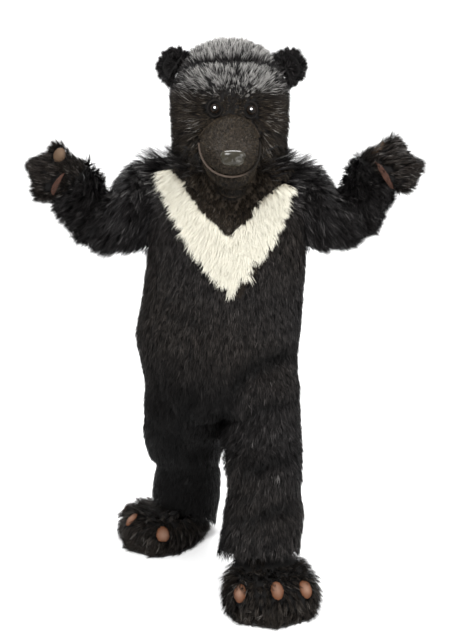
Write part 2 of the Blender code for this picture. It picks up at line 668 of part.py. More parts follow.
def make_suit_plug(suit, rows):
    """A cutter a little larger than the upper suit, filled in, with its armholes and neck closed."""
    front, front_normal = joined_panels(suit, "front")
    back, back_normal = joined_panels(suit, "back")
    front = front + front_normal * LAY_GAP
    back = back + back_normal * LAY_GAP
    around = np.concatenate([front, back[:, ::-1]], axis=1)
    around = np.concatenate([around, around[:, :1]], axis=1)[:rows]
    columns = front.shape[1]
    low = np.repeat(around[-1][:-1].mean(axis=0)[None], around.shape[1], 0)
    neck = [around[0][:columns], around[0][columns:-1][::-1]]
    middle = (neck[0] + neck[1]) / 2
    top = np.concatenate([middle, middle[::-1], middle[:1]])
    top[:, 2] -= 0.004 * (np.linalg.norm(around[0] - top, axis=1) > 1e-4)
    guide(close_surface("suit_plug", np.concatenate([top[None], around, low[None]])))


def make_chest_v(suit, bib_edge):
    """The V's inner edge runs beside the bib; its outer edge is ragged with locks of fur."""
    xs, heights = (np.array(values) for values in zip(*CHEST_V_EDGE))
    share = np.linspace(0, 1, CHEST_V_LOCKS + 1)
    spots = share * (len(xs) - 1)
    edge = np.column_stack([smooth(spots, range(len(xs)), xs), smooth(spots, range(len(xs)), heights)])
    along_edge = np.gradient(edge, axis=0)
    out = np.column_stack([-along_edge[:, 1], along_edge[:, 0]])
    out /= -np.linalg.norm(out, axis=1, keepdims=True)
    lock = np.where(np.arange(len(edge)) % 2 == 0, 0.0, CHEST_V_LOCK)
    lock[[0, -1]] = 0.0
    edge = edge + out * lock[:, None]
    reach = (edge[0, 0] + 0.012, edge[-1, 0] - 0.008)
    beside_bib = (bib_edge[:, 1] < 0) & (bib_edge[:, 0] > reach[0]) & (bib_edge[:, 0] < reach[1])
    inner = bib_edge[beside_bib]
    inner = inner[np.argsort(-inner[:, 0])]
    slope = np.gradient(inner[:, [0, 2]], axis=0)
    beside = np.column_stack([slope[:, 1], -slope[:, 0]])
    beside /= np.linalg.norm(beside, axis=1, keepdims=True)
    beside *= np.where(beside[:, 1:] > 0, -1, 1)
    inner = inner[:, [0, 2]] + beside * CHEST_V_INSET
    outline = np.concatenate([edge, inner])
    ring = np.column_stack([outline[:, 0], np.full(len(outline), -0.30), outline[:, 1]])
    prism = column_prism("chest_v_outline", ring, (0, 1, 0), 0.29)
    outer, normal = joined_panels(suit, "front")
    keep = slice(0, 14)
    cut_from("chest_v", (outer[keep], normal[keep]), prism, CHEST_V_THICKNESS, "cream_fur")


def make_zip(suit):
    heights = np.linspace(ZIP_TOP, ZIP_BOTTOM, 12)
    seam = smooth(heights, TORSO["height"], TORSO["x_seam"])
    sides = [stack(seam + ZIP_HALF_WIDTH, 0.05, heights), stack(seam - ZIP_HALF_WIDTH, 0.05, heights)[::-1]]
    prism = column_prism("back_zip_outline", np.concatenate(sides), (0, 1, 0), 0.30)
    outer, normal = joined_panels(suit, "back")
    middle = slice(PANEL_COLUMNS - 1, PANEL_COLUMNS + 2)
    cut_from("back_zip", (outer[:19, middle], normal[:19, middle]), prism, ZIP_THICKNESS, "zip_tape")


def head_point(turn, height):
    """The head's surface: turn 0 is the front, +90 degrees is the wearer's left."""
    up = np.clip((height - HEAD_MID) / (HEAD_TOP - HEAD_MID), 0, 1)
    down = np.clip((HEAD_MID - height) / 0.15, 0, 2)
    size = np.sqrt(np.clip(1 - up ** 2.6, 0, 1)) * (1 - HEAD_TAPER * down ** 2)
    across = np.sign(np.sin(turn)) * np.abs(np.sin(turn)) ** (2 / HEAD_POWER)
    level = np.sign(np.cos(turn)) * np.abs(np.cos(turn)) ** (2 / HEAD_POWER)
    depth = np.where(np.cos(turn) > 0, HEAD_FRONT * (1 - 0.10 * down), HEAD_BACK)
    x = HEAD_X + HEAD_HALF_WIDTH * size * across
    y = HEAD_Y - depth * size * level
    front = smoothstep(np.cos(turn) * 1.6)
    for eye_x, eye_z in EYES.values():
        y = y + front * 0.012 * bump(np.hypot(x - eye_x, (height - eye_z) * 0.9), 0.036)
    y = y - front * 0.008 * bump(height - 1.706, 0.030) * bump(x - HEAD_X, 0.13)
    y = y + front * 0.008 * bump(x - HEAD_X, 0.018) * bump(height - 1.68, 0.06)
    return stack(x, y, height)


def face_edge(turn):
    """Height of the seam between the head and the neck skirt."""
    front = smoothstep((np.cos(turn) - 0.72) / 0.26)
    back = smoothstep(-np.cos(turn) * 1.1)
    side = FACE_EDGE["side"]
    return side + (FACE_EDGE["front"] - side) * front + (FACE_EDGE["back"] - side) * back


def crown_edge(turn):
    return CROWN_SEAM[0] + CROWN_SEAM[1] * smoothstep(np.cos(turn))


def skirt_rows(turn):
    start = head_point(turn, face_edge(turn))
    degrees = np.degrees((turn + math.pi) % (2 * math.pi) - math.pi)
    degrees[-1] = 180.0
    edge = stack(*(smooth(degrees, SKIRT_EDGE["angle"], SKIRT_EDGE[name]) for name in ("x", "y", "z")))
    suit = ("suit_plug",)
    edge = lay_on(suit, TORSO_HEART, edge, SKIRT_CLEAR + CLOTH_WALL)
    rows = []
    for share in np.linspace(0, 1, SKIRT_ROWS + 1):
        row = start + (edge - start) * share
        rows.append(row if share == 0 else keep_outside(suit, TORSO_HEART, row, SKIRT_CLEAR + CLOTH_WALL))
    return np.array(rows)


def make_head():
    turn = np.linspace(-math.pi, math.pi, HEAD_SIDES + 1)
    crown_shares = np.linspace(0, 1, 6) ** 1.6
    crown = np.array([head_point(turn, HEAD_TOP + (crown_edge(turn) - HEAD_TOP) * share)
                      for share in crown_shares])
    shares = np.linspace(0, 1, 10)
    lower = np.array([head_point(turn, crown_edge(turn) + (face_edge(turn) - crown_edge(turn)) * share)
                      for share in shares])
    quarter = HEAD_SIDES // 4
    face = lower[:, quarter:-quarter]
    back = np.concatenate([lower[:, -quarter - 1:], lower[:, 1:quarter + 1]], axis=1)
    heart = np.array([[HEAD_X, HEAD_Y, HEAD_MID]])
    axes = {len(grid): np.repeat(heart, len(grid), 0) for grid in (crown, lower)}
    seams = ("top", "bottom", "start", "end")
    pieces = [("head_crown", crown, axes[len(crown)], ("bottom",), True)]
    pieces.append(("head_face", face, axes[len(lower)], seams, False))
    pieces.append(("head_back", back, axes[len(lower)], seams, False))
    cloth(pieces, HEAD_WALL, "black_fur")
    whole = np.concatenate([crown, lower[1:]])
    normal = outward_normals([whole], [np.repeat(heart, len(whole), 0)])[0]
    plug = whole + normal * LAY_GAP
    below = plug[-1] - [0.0, 0.0, 0.012]
    base = np.repeat(below[:-1].mean(axis=0)[None], len(turn), 0)
    guide(close_surface("head_plug", np.concatenate([plug, below[None], base[None]])))
    return turn, whole[-1], normal[-1]


def make_skirt(turn, head_edge, head_normal):
    """The neck skirt hangs from the head's lower edge and lies on the shoulders and the chest."""
    skirt = skirt_rows(turn)
    axis = np.array([[HEAD_X, HEAD_Y, z] for z in skirt[:, :, 2].mean(axis=1)])
    normal = outward_normals([skirt], [axis])[0]
    inner = skirt - normal * CLOTH_WALL
    inner[0] = head_edge - head_normal * CLOTH_WALL
    for grid in (skirt, inner):
        grid[0, :, 2] -= SEAM_GAP * 2
    solid = close_wall("neck_skirt", skirt, inner, "brown_fur", wraps=True)
    cut(solid, bpy.data.objects["suit_plug"], "DIFFERENCE")
    return skirt[-1]


def muzzle_rows(profile, rows, powers):
    """Rows that run from one mouth corner over the profile to the other corner."""
    left, right = np.array(MOUTH_LEFT), np.array(MOUTH_RIGHT)
    middle = (left + right) / 2
    sweep = np.radians(np.linspace(-86, 86, MUZZLE_COLUMNS + 1))
    base = middle + np.outer(np.sin(sweep), (left - right) / 2)
    grid = []
    for share in np.linspace(0, 1, rows):
        spot = np.array([middle[0] + 0.010, along(profile, "y", share), along(profile, "z", share)])
        reach = np.cos(sweep) ** (2 / (powers[0] + (powers[1] - powers[0]) * share))
        grid.append(base + np.outer(reach, spot - middle))
    return np.array(grid)


def make_muzzle():
    heart = (HEAD_X, HEAD_Y, HEAD_MID - 0.08)
    head = ("head_face", "neck_skirt")
    muzzle = muzzle_rows(MUZZLE_PROFILE, MUZZLE_ROWS, MUZZLE_POWER)
    jaw = muzzle_rows(JAW_PROFILE, JAW_ROWS, MUZZLE_POWER[1:] * 2)
    inside = np.array([[HEAD_X, -0.16, 1.52]])
    walls = cloth((("muzzle", muzzle, np.repeat(inside, MUZZLE_ROWS, 0), (), False),
                   ("jaw", jaw, np.repeat(inside, JAW_ROWS, 0), (), False)), 0.005, None)
    for name in ("muzzle", "jaw"):
        outer, inner, _, _ = walls[name]
        inner = keep_outside(head, heart, inner, LAY_GAP * 4)
        outer = keep_outside(head, heart, outer, LAY_GAP * 4 + 0.003)
        close_wall(name, outer, inner, "brown_fur")
    middle = muzzle[:, 1:-1].mean(axis=(0, 1)) + np.array([0.0, 0.06, 0.0])
    plug = walls["muzzle"][0] + walls["muzzle"][2] * LAY_GAP
    guide(close_wall("muzzle_plug", plug, (middle + plug) / 2, "black_fur"))
    mouth = (muzzle[-1] + jaw[0]) / 2
    lift = walls["muzzle"][2][-1] + walls["jaw"][2][0]
    lift /= np.linalg.norm(lift, axis=1, keepdims=True)
    path = mouth + lift * (LIP_RADIUS + LAY_GAP * 1.6)
    path = keep_outside(head, heart, path, LIP_RADIUS + LAY_GAP * 2)
    tube_along("mouth_lip", path, LIP_RADIUS, 6, "lip_suede")


def tube_along(name, path, radius, sides, material):
    """A round roll along a path, closed at both ends."""
    tangent = np.gradient(path, axis=0)
    tangent /= np.linalg.norm(tangent, axis=1, keepdims=True)
    first = np.cross(tangent, (0.0, 0.0, 1.0))
    first /= np.linalg.norm(first, axis=1, keepdims=True)
    second = np.cross(tangent, first)
    turn = np.linspace(0, 2 * math.pi, sides, endpoint=False)
    rings = (path[:, None] + radius * (np.cos(turn)[None, :, None] * first[:, None]
                                       + np.sin(turn)[None, :, None] * second[:, None]))
    count = len(path)
    faces = [tuple(range(sides)), tuple((count - 1) * sides + side for side in reversed(range(sides)))]
    for row in range(count - 1):
        for side in range(sides):
            a, b = row * sides + side, row * sides + (side + 1) % sides
            faces.append((b, a, a + sides, b + sides))
    add_solid(name, rings.reshape(-1, 3), faces, material)


def rounded_solid(name, centre, axes, radii, power, material, plug, bend=0.0):
    """A rounded block with its three axes, cut off just above what it sits on."""
    work = bmesh.new()
    bmesh.ops.create_uvsphere(work, u_segments=12, v_segments=8, radius=1.0)
    unit = np.array([vertex.co[:] for vertex in work.verts])
    faces = [[vertex.index for vertex in face.verts] for face in work.faces]
    work.free()
    local = np.sign(unit) * np.abs(unit) ** (2 / power)
    local[:, 1] += bend * (1 - local[:, 0] ** 2 - local[:, 2] ** 2)
    frame = np.array(axes, float)
    points = np.array(centre) + (local * np.array(radii)) @ frame
    solid = add_solid(name, points, faces, material)
    cut(solid, bpy.data.objects[plug], "DIFFERENCE")


def make_face_details():
    heart = (HEAD_X, HEAD_Y, HEAD_MID)
    level = ((1, 0, 0), (0, 1, 0), (0, 0, 1))
    for side, (eye_x, eye_z) in EYES.items():
        spot = lay_on(("head_face",), heart, np.array([eye_x, -0.2, eye_z]), 0.0)
        lids = []
        for angle in np.linspace(0, 2 * math.pi, 17)[:-1]:
            rim = spot + np.array([math.cos(angle) * LID_RADIUS, 0.0, math.sin(angle) * LID_RADIUS * 1.1])
            lids.append(lay_on(("head_face",), heart, rim, 0.0))
        lid = ring_around(f"eyelid_{side}", np.array(lids), LID_TUBE, spot, "brown_fur")
        cut(lid, bpy.data.objects["head_plug"], "DIFFERENCE")
        radii = (EYE_RADIUS, EYE_DOME, EYE_RADIUS * 1.08)
        rounded_solid(f"eye_{side}", spot, level, radii, 2.0, "eye_gloss", "head_plug")
    for side, (ear_x, ear_y, ear_z) in EARS.items():
        outward = np.array([SIDES[side] * 0.80, -0.10, 0.60])
        outward /= np.linalg.norm(outward)
        forward = np.array([SIDES[side] * 0.22, -0.97, 0.0])
        forward -= outward * np.dot(forward, outward)
        forward /= np.linalg.norm(forward)
        frame = (np.cross(forward, outward), -forward, outward)
        radii = (EAR_RADIUS, EAR_THICKNESS, EAR_RADIUS * 1.06)
        rounded_solid(f"ear_{side}", (ear_x, ear_y, ear_z), frame, radii, 2.2, "black_fur", "head_plug",
                      bend=EAR_CUP / EAR_THICKNESS)
    radii = (NOSE["half_width"], NOSE["half_depth"], NOSE["half_height"])
    rounded_solid("nose", NOSE["centre"], level, radii, 2.5, "nose_gloss", "muzzle_plug")


def ring_around(name, path, radius, centre, material):
    """A closed roll round an eye."""
    outward = path - centre
    outward /= np.linalg.norm(outward, axis=1, keepdims=True)
    forward = np.array([0.0, -1.0, 0.0])
    turn = np.linspace(0, 2 * math.pi, 6, endpoint=False)
    rings = (path[:, None] + radius * (np.cos(turn)[None, :, None] * outward[:, None]
                                       + np.sin(turn)[None, :, None] * forward))
    count, sides = rings.shape[:2]
    faces = []
    for row in range(count):
        for side in range(sides):
            a, b = row * sides + side, row * sides + (side + 1) % sides
            c, d = (row + 1) % count * sides + side, (row + 1) % count * sides + (side + 1) % sides
            faces.append((a, b, d, c))
    return add_solid(name, rings.reshape(-1, 3), faces, material)


def make_glove(side, sleeve):
    """A paw glove: its shaft follows the inside of the cuff, then the paw swells round three fingers."""
    spec = GLOVES[side]
    outer, _, normals, _ = sleeve
    inset = CLOTH_WALL + LAY_GAP * 1.6
    shaft = [outer[row] - normals[row] * inset for row in (-4, -2, -1)]
    wrist, palm, tip = (np.array(spec[name]) for name in ("wrist", "palm", "tip"))
    faces_way = np.array(spec["faces"]) / np.linalg.norm(spec["faces"])
    reach = tip - palm
    forward = reach - faces_way * np.dot(reach, faces_way)
    forward /= np.linalg.norm(forward)
    across = np.cross(forward, faces_way)
    if across[2] < 0:
        across = -across
    turn = np.linspace(0, 2 * math.pi, SLEEVE_SIDES + 1)
    rings = list(shaft)
    for index, share in enumerate(np.linspace(0.22, 1, len(GLOVE_WIDTH))):
        middle = (1 - share) ** 2 * wrist + 2 * share * (1 - share) * palm + share ** 2 * tip
        lean = smoothstep(share * 1.5 + 0.2)
        start_up = outer[-1][0] - outer[-1][SLEEVE_SIDES // 2]
        up = start_up / np.linalg.norm(start_up) * (1 - lean) + across * lean
        up /= np.linalg.norm(up)
        start_out = outer[-1][SLEEVE_SIDES // 4] - outer[-1][3 * SLEEVE_SIDES // 4]
        out = start_out / np.linalg.norm(start_out) * (1 - lean) + faces_way * lean
        out /= np.linalg.norm(out)
        ring = (middle + np.outer(np.cos(turn) * GLOVE_WIDTH[index], up)
                + np.outer(np.sin(turn) * GLOVE_THICKNESS[index], out))
        rings.append(ring)
    rings.append(np.repeat((tip + forward * 0.004)[None], SLEEVE_SIDES + 1, 0))
    rings = np.array(rings)
    local = rings - palm
    ahead, aside = local @ forward, local @ across
    angle = np.degrees(np.arctan2(aside, ahead))
    lobes = sum(bump(angle - finger, 24.0) for finger in spec["fingers"])
    grow = smoothstep((np.hypot(ahead, aside) - 0.035) / 0.05) * smoothstep((ahead + 0.03) / 0.05)
    spread = (lobes - 0.55) * FINGER_LOBE * 2.0 * grow
    radial = np.stack([ahead, aside], axis=-1)
    radial /= np.maximum(np.linalg.norm(radial, axis=-1, keepdims=True), 1e-6)
    rings = rings + (radial[..., :1] * forward + radial[..., 1:] * across) * spread[..., None]
    axis = np.array([ring[:-1].mean(axis=0) for ring in rings])
    half = SLEEVE_SIDES // 2
    halves = (f"glove_palm_{side}", f"glove_back_{side}")
    grids = (rings[:, :half + 1], rings[:, half:])
    walls = cloth([(name, grid, axis, ("start", "end"), False) for name, grid in zip(halves, grids)],
                  CLOTH_WALL, "black_fur")
    normal = np.concatenate([walls[halves[0]][2], walls[halves[1]][2][:, 1:]], axis=1)
    base = (rings[len(shaft):], normal[len(shaft):])
    ahead_by, aside_by, tilt = spec["pad"]
    heart = palm + forward * ahead_by + across * aside_by
    tilt = math.radians(tilt)
    long_way = across * math.cos(tilt) - forward * math.sin(tilt)
    wide_way = forward * math.cos(tilt) + across * math.sin(tilt)
    place_pad(f"palm_pad_{side}", heart, heart + faces_way * 0.05, long_way, wide_way, PALM_PAD,
              base, "pad_suede")
    return base, palm, forward, across


def place_pad(name, heart, centre, across, forward, size, base, material):
    """An oval pad that lies on a paw: the paw's own points moved out, cut to the oval."""
    turn = np.linspace(0, 2 * math.pi, PAD_SIDES + 1)[:-1]
    oval = (np.outer(np.cos(turn) * size["half_width"], across)
            + np.outer(np.sin(turn) * size["half_length"], forward))
    way = np.asarray(centre, float) - heart
    length = np.linalg.norm(way)
    prism = column_prism(name + "_outline", heart + oval, way / length, length + 0.12)
    cut_from(name, base, prism, size["thickness"], material)


def make_gloves(suit):
    for side in SIDES:
        base, palm, forward, across = make_glove(side, suit[f"sleeve_{side}"])
        finger = math.radians(GLOVES[side]["fingers"][2])
        direction = forward * math.cos(finger) + across * math.sin(finger)
        heart = palm + direction * 0.062
        faces_way = np.array(GLOVES[side]["finger_faces"])
        aside = np.cross(direction, faces_way)
        place_pad(f"finger_pad_{side}", heart, heart + faces_way * 0.05, aside, direction, FINGER_PAD,
                  base, "toe_suede")


def foot_outline(theta):
    """The sole's edge in the foot's own frame: ahead and aside, theta 0 at the toes."""
    ahead = np.cos(theta)
    aside = np.sin(theta)
    middle = (FOOT_TOE - FOOT_HEEL) / 2
    half = (FOOT_TOE + FOOT_HEEL) / 2
    forward = middle + half * np.sign(ahead) * np.abs(ahead) ** 0.86
    share = smoothstep((forward + FOOT_HEEL) / (FOOT_TOE + FOOT_HEEL) * 1.35)
    width = HEEL_HALF_WIDTH + (FOOT_HALF_WIDTH - HEEL_HALF_WIDTH) * share
    sideways = width * np.sign(aside) * np.abs(aside) ** 0.90
    degrees = np.degrees(theta)
    lobe = sum(bump(degrees - toe, 14.0) for toe in TOE_ANGLES) - 0.5
    window = smoothstep((78 - np.abs(degrees)) / 14)
    forward = forward + TOE_LOBE * lobe * window * ahead
    sideways = sideways + TOE_LOBE * lobe * window * aside
    return forward, sideways, lobe * window


def foot_columns():
    """Column angles, close together at the toes and wide apart at the heel."""
    half = np.concatenate([np.linspace(0, 72, 10)[1:], np.linspace(96, 180, 4)])
    return np.radians(np.concatenate([-half[::-1], [0.0], half]))


def make_foot(side):
    """A foot paw: its shaft stands inside the trouser leg, then it spreads to the three toes."""
    spec = FEET[side]
    turn = math.radians(spec["turn"])
    toes = np.array([math.sin(turn), -math.cos(turn), 0.0])
    inward = np.array([math.cos(turn), math.sin(turn), 0.0])
    ankle = np.array([spec["ankle"][0], spec["ankle"][1], 0.0])
    theta = foot_columns()
    forward, sideways, lobe = foot_outline(theta)
    edge = ankle + np.outer(forward, toes) + np.outer(sideways, inward)
    circle = SHAFT_RADIUS * (np.outer(np.cos(theta), toes) + np.outer(np.sin(theta), inward))
    ahead = smoothstep(np.cos(theta) * 0.9 + 0.35)
    ankle_height = FOOT_HEIGHT - 0.030 * (1 - ahead)
    level, slope = LEGS[side]["hem"][:2]
    shaft_rows = []
    for height in (level + slope + SHAFT_INSIDE, FOOT_HEIGHT + 0.035):
        leg = {name: float(smooth(height, LEGS[side]["height"], LEGS[side][name]))
               for name in ("inner", "outer", "y_mid")}
        middle = np.array([(leg["inner"] + leg["outer"]) / 2, leg["y_mid"], height])
        shaft_rows.append(middle + circle)
    shaft = np.array(shaft_rows)
    shaft = shaft + rest_in_leg(shaft, side)
    rows = list(shaft)
    for share in np.linspace(0, 1, 7):
        power = 2 / (2.2 + 1.5 * ahead)
        out = math.sin(share * math.pi / 2) ** power
        up = np.abs(math.cos(share * math.pi / 2)) ** power
        swell = 1.0 - 0.045 * smoothstep((share - 0.75) / 0.25)
        round_leg = ankle + circle
        spot = round_leg + (edge * swell + ankle * (1 - swell) - round_leg) * out[:, None]
        height = SOLE_THICKNESS + SEAM_GAP + (ankle_height - SOLE_THICKNESS) * up
        groove = 0.012 * (0.5 - lobe) * (lobe != 0) * math.sin(share * math.pi) * ahead
        rows.append(stack(spot[:, 0], spot[:, 1], height - groove))
    rows = np.array(rows)
    axis = np.array([ring.mean(axis=0) for ring in rows])
    wall = cloth(((f"foot_{side}", rows, axis, (), True),), FOOT_WALL, "black_fur")[f"foot_{side}"]
    make_sole(f"sole_{side}", rows[-1][:-1])
    for number, (ahead_by, aside_by, height, faces) in enumerate(NAILS[side], 1):
        heart = ankle + toes * ahead_by + inward * aside_by + np.array([0.0, 0.0, height])
        lean = math.cos(math.radians(faces)) * toes + math.sin(math.radians(faces)) * inward
        way = lean * 0.84 + np.array([0.0, 0.0, 0.54])
        across = np.cross(lean, (0, 0, 1.0))
        up = np.cross(across, way)
        place_pad(f"toe_oval_{side}_{number}", heart, heart + way * 0.08, across, up, NAIL,
                  (wall[0][2:-1], wall[2][2:-1]), "toe_suede")


def rest_in_leg(shaft, side):
    """How far the shaft goes back before it rests on the inside of the trouser leg."""
    rows, columns = shaft.shape[:2]
    centre = shaft[:, :-1].mean(axis=1, keepdims=True)
    grown = centre + (shaft - centre) * (1 + SEAM_GAP * 1.5 / SHAFT_RADIUS)
    faces = [(row * columns + column, row * columns + column + 1,
              (row + 1) * columns + column + 1, (row + 1) * columns + column)
             for row in range(rows - 1) for column in range(columns - 1)]
    near, far = 0.0, 0.05
    for _ in range(14):
        shift = (near + far) / 2
        spots = [tuple(spot + (0.0, shift, 0.0)) for spot in grown.reshape(-1, 3)]
        tree = BVHTree.FromPolygons(spots, faces)
        if any(trees[f"leg_{face}_{side}"].overlap(tree) for face in ("front", "back")):
            far = shift
        else:
            near = shift
    return np.array([0.0, near, 0.0])


def make_sole(name, edge):
    count = len(edge)
    work_points = []
    for height in (0.0, SOLE_THICKNESS):
        work_points.append(np.column_stack([edge[:, :2], np.full(count, height)]))
    points = np.concatenate(work_points)
    faces = [tuple(range(count)), tuple(count + index for index in reversed(range(count)))]
    for index in range(count):
        after = (index + 1) % count
        faces.append((index, index + count, after + count, after))
    add_solid(name, points, faces, "sole_rubber")


def make_materials():
    for name, (colour, roughness) in MATERIALS.items():
        material = bpy.data.materials.get(name) or bpy.data.materials.new(name)
        material.use_nodes = True
        shader = material.node_tree.nodes["Principled BSDF"]
        shader.inputs["Base Color"].default_value = (*colour, 1.0)
        shader.inputs["Roughness"].default_value = roughness
        shader.inputs["Metallic"].default_value = 0.0


def main():
    remove_old_objects()
    collection = bpy.data.collections.new("fursuit")
    bpy.context.scene.collection.children.link(collection)
    cutters = bpy.data.collections.new("cutters")
    bpy.context.scene.collection.children.link(cutters)
    shoulders = bpy.data.objects.new("shoulders", None)
    shoulders.location = (0.0, 0.0, -SHOULDER_HEIGHT)
    collection.objects.link(shoulders)
    make_materials()
    suit = make_suit()
    make_suit_plug(suit, 14)
    turn, head_edge, head_normal = make_head()
    bib_edge = make_skirt(turn, head_edge, head_normal)
    make_chest_v(suit, bib_edge)
    make_zip(suit)
    make_muzzle()
    make_face_details()
    make_gloves(suit)
    for side in SIDES:
        make_foot(side)


main()
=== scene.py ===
import json
import math

import bmesh
import bpy
import numpy as np
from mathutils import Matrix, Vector
from mathutils.bvhtree import BVHTree

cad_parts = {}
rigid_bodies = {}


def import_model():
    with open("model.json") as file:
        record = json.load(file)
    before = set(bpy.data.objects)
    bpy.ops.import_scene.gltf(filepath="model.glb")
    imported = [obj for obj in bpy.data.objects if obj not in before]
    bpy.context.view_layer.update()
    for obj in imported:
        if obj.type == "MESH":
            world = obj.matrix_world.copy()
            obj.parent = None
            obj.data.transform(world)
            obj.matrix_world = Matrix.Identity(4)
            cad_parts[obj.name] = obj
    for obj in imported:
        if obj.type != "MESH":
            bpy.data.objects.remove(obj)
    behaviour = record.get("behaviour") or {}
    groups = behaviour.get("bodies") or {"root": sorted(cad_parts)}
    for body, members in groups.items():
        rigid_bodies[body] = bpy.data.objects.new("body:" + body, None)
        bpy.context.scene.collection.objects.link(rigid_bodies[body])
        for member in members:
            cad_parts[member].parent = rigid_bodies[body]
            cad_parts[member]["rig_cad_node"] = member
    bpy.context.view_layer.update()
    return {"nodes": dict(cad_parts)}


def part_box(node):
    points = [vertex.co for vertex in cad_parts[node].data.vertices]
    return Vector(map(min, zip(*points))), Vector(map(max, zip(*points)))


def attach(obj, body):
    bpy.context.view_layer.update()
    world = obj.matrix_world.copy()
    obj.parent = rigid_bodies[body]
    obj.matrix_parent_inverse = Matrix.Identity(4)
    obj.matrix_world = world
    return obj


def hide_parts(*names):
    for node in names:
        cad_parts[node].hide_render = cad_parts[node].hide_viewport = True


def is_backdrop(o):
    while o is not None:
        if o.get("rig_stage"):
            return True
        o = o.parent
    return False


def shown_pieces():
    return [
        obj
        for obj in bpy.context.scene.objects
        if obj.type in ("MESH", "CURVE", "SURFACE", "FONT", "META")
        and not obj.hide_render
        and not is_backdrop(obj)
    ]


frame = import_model()
nodes = frame["nodes"]
chance = np.random.default_rng(41)     # every hair comes from this one seed
print("frame loaded:", len(nodes), "nodes")


photoCamera = {
    "place": (0.0, -2.8, -0.0799),     # metres from the shoulder line, 1.46 m above the floor
    "downTilt": 9.30125,               # degrees below the horizon
    "lens": 43.70,                     # mm
    "sensor": 36.0,                    # mm, its height
}
softLights = {                         # place, aim, size in metres, watts
    "keyLight": ((-1.2, -2.7, 2.3), (0.0, 0.0, -0.2), 1.6, 170),
    "fillLight": ((2.6, -2.2, 1.1), (0.0, 0.0, -0.5), 2.2, 90),
    "topLight": ((0.0, 0.6, 2.7), (0.0, 0.0, 0.0), 2.0, 150),
    "lowLight": ((1.6, -3.0, -0.7), (0.15, 0.0, -1.0), 1.4, 30),
}
worldLight = {"colour": (1.0, 1.0, 1.0), "strength": 1.0}


def aimed(thing, place, target):
    # turns a camera or light so that its -Z looks from its place at the target
    thing.location = place
    thing.rotation_euler = (Vector(target) - Vector(place)).to_track_quat("-Z", "Y").to_euler()
    bpy.context.scene.collection.objects.link(thing)


def makeCamera():
    lens = bpy.data.cameras.new("photoCamera")
    lens.sensor_fit = "VERTICAL"
    lens.sensor_height = photoCamera["sensor"]
    lens.lens = photoCamera["lens"]
    camera = bpy.data.objects.new("photoCamera", lens)
    tilt = math.radians(photoCamera["downTilt"])
    place = Vector(photoCamera["place"])
    aimed(camera, place, place + Vector((0.0, math.cos(tilt), -math.sin(tilt))))
    bpy.context.scene.camera = camera


def makeLights():
    for name, (place, target, size, watts) in softLights.items():
        light = bpy.data.lights.new(name, "AREA")
        light.size = size
        light.energy = watts
        aimed(bpy.data.objects.new(name, light), place, target)
    world = bpy.data.worlds.new("paleStudio")
    world.use_nodes = True
    background = world.node_tree.nodes["Background"]
    background.inputs["Color"].default_value = (*worldLight["colour"], 1.0)
    background.inputs["Strength"].default_value = worldLight["strength"]
    bpy.context.scene.world = world
    bpy.context.scene.view_settings.view_transform = "Standard"


class Wire:
    # one socket of a material, so that a plain sum or product adds its Math node
    def __init__(self, finish, socket):
        self.finish = finish
        self.socket = socket

    def other(self, output):
        # another output of the same node
        return Wire(self.finish, self.socket.node.outputs[output])

    def maths(self, operation, *others):
        inputs = dict(enumerate((self, *others)))
        return self.finish.node("ShaderNodeMath", {"operation": operation}, inputs)

    def __add__(self, other):
        return self.maths("ADD", other)

    __radd__ = __add__

    def __mul__(self, other):
        return self.maths("MULTIPLY", other)

    __rmul__ = __mul__

    def __sub__(self, other):
        return self.maths("SUBTRACT", other)

    def __rsub__(self, other):
        return self * -1.0 + other

    def clamped(self):
        return self.maths("MAXIMUM", 0.0).maths("MINIMUM", 1.0)


class Finish:
    # a material: its Principled shader with a fixed roughness and specular level, and one method
    # for any other node
    def __init__(self, name, roughness, specular):
        self.material = bpy.data.materials.new(name)
        self.material.use_nodes = True
        self.tree = self.material.node_tree
        self.shader = self.tree.nodes["Principled BSDF"]
        self.fix("Roughness", roughness)
        self.fix("Specular IOR Level", specular)

    def fix(self, socket, value):
        self.shader.inputs[socket].default_value = value

    def feed(self, socket, wire):
        self.tree.links.new(wire.socket, self.shader.inputs[socket])

    def node(self, kind, settings=None, inputs=None, output=0):
        made = self.tree.nodes.new(kind)
        for setting, value in (settings or {}).items():
            setattr(made, setting, value)
        for socket, value in (inputs or {}).items():
            if isinstance(value, Wire):
                self.tree.links.new(value.socket, made.inputs[socket])
            else:
                made.inputs[socket].default_value = value
        return Wire(self, made.outputs[output])

    def place(self):
        return self.node("ShaderNodeTexCoord", output="Object")

    def noise(self, scale, detail=3.0, roughness=0.5, vector=None):
        return self.node("ShaderNodeTexNoise", inputs={
            "Vector": vector or self.place(), "Scale": scale, "Detail": detail,
            "Roughness": roughness})

    def wave(self, bands, scale, distortion):
        return self.node("ShaderNodeTexWave", {"bands_direction": bands}, {
            "Vector": self.place(), "Scale": scale, "Distortion": distortion})

    def blend(self, factor, *pair):
        # a Mix node set to colours has its colour sockets at 6 and 7 and its result at 2
        first, second = (value if isinstance(value, Wire) else (*value, 1.0) for value in pair)
        return self.node("ShaderNodeMix", {"data_type": "RGBA"},
                         {0: factor, 6: first, 7: second}, 2)

    def paint(self, factor, *pair):
        self.feed("Base Color", self.blend(factor, *pair))

    def bump(self, height, strength, distance):
        self.feed("Normal", self.node("ShaderNodeBump", inputs={
            "Height": height, "Strength": strength, "Distance": distance}))


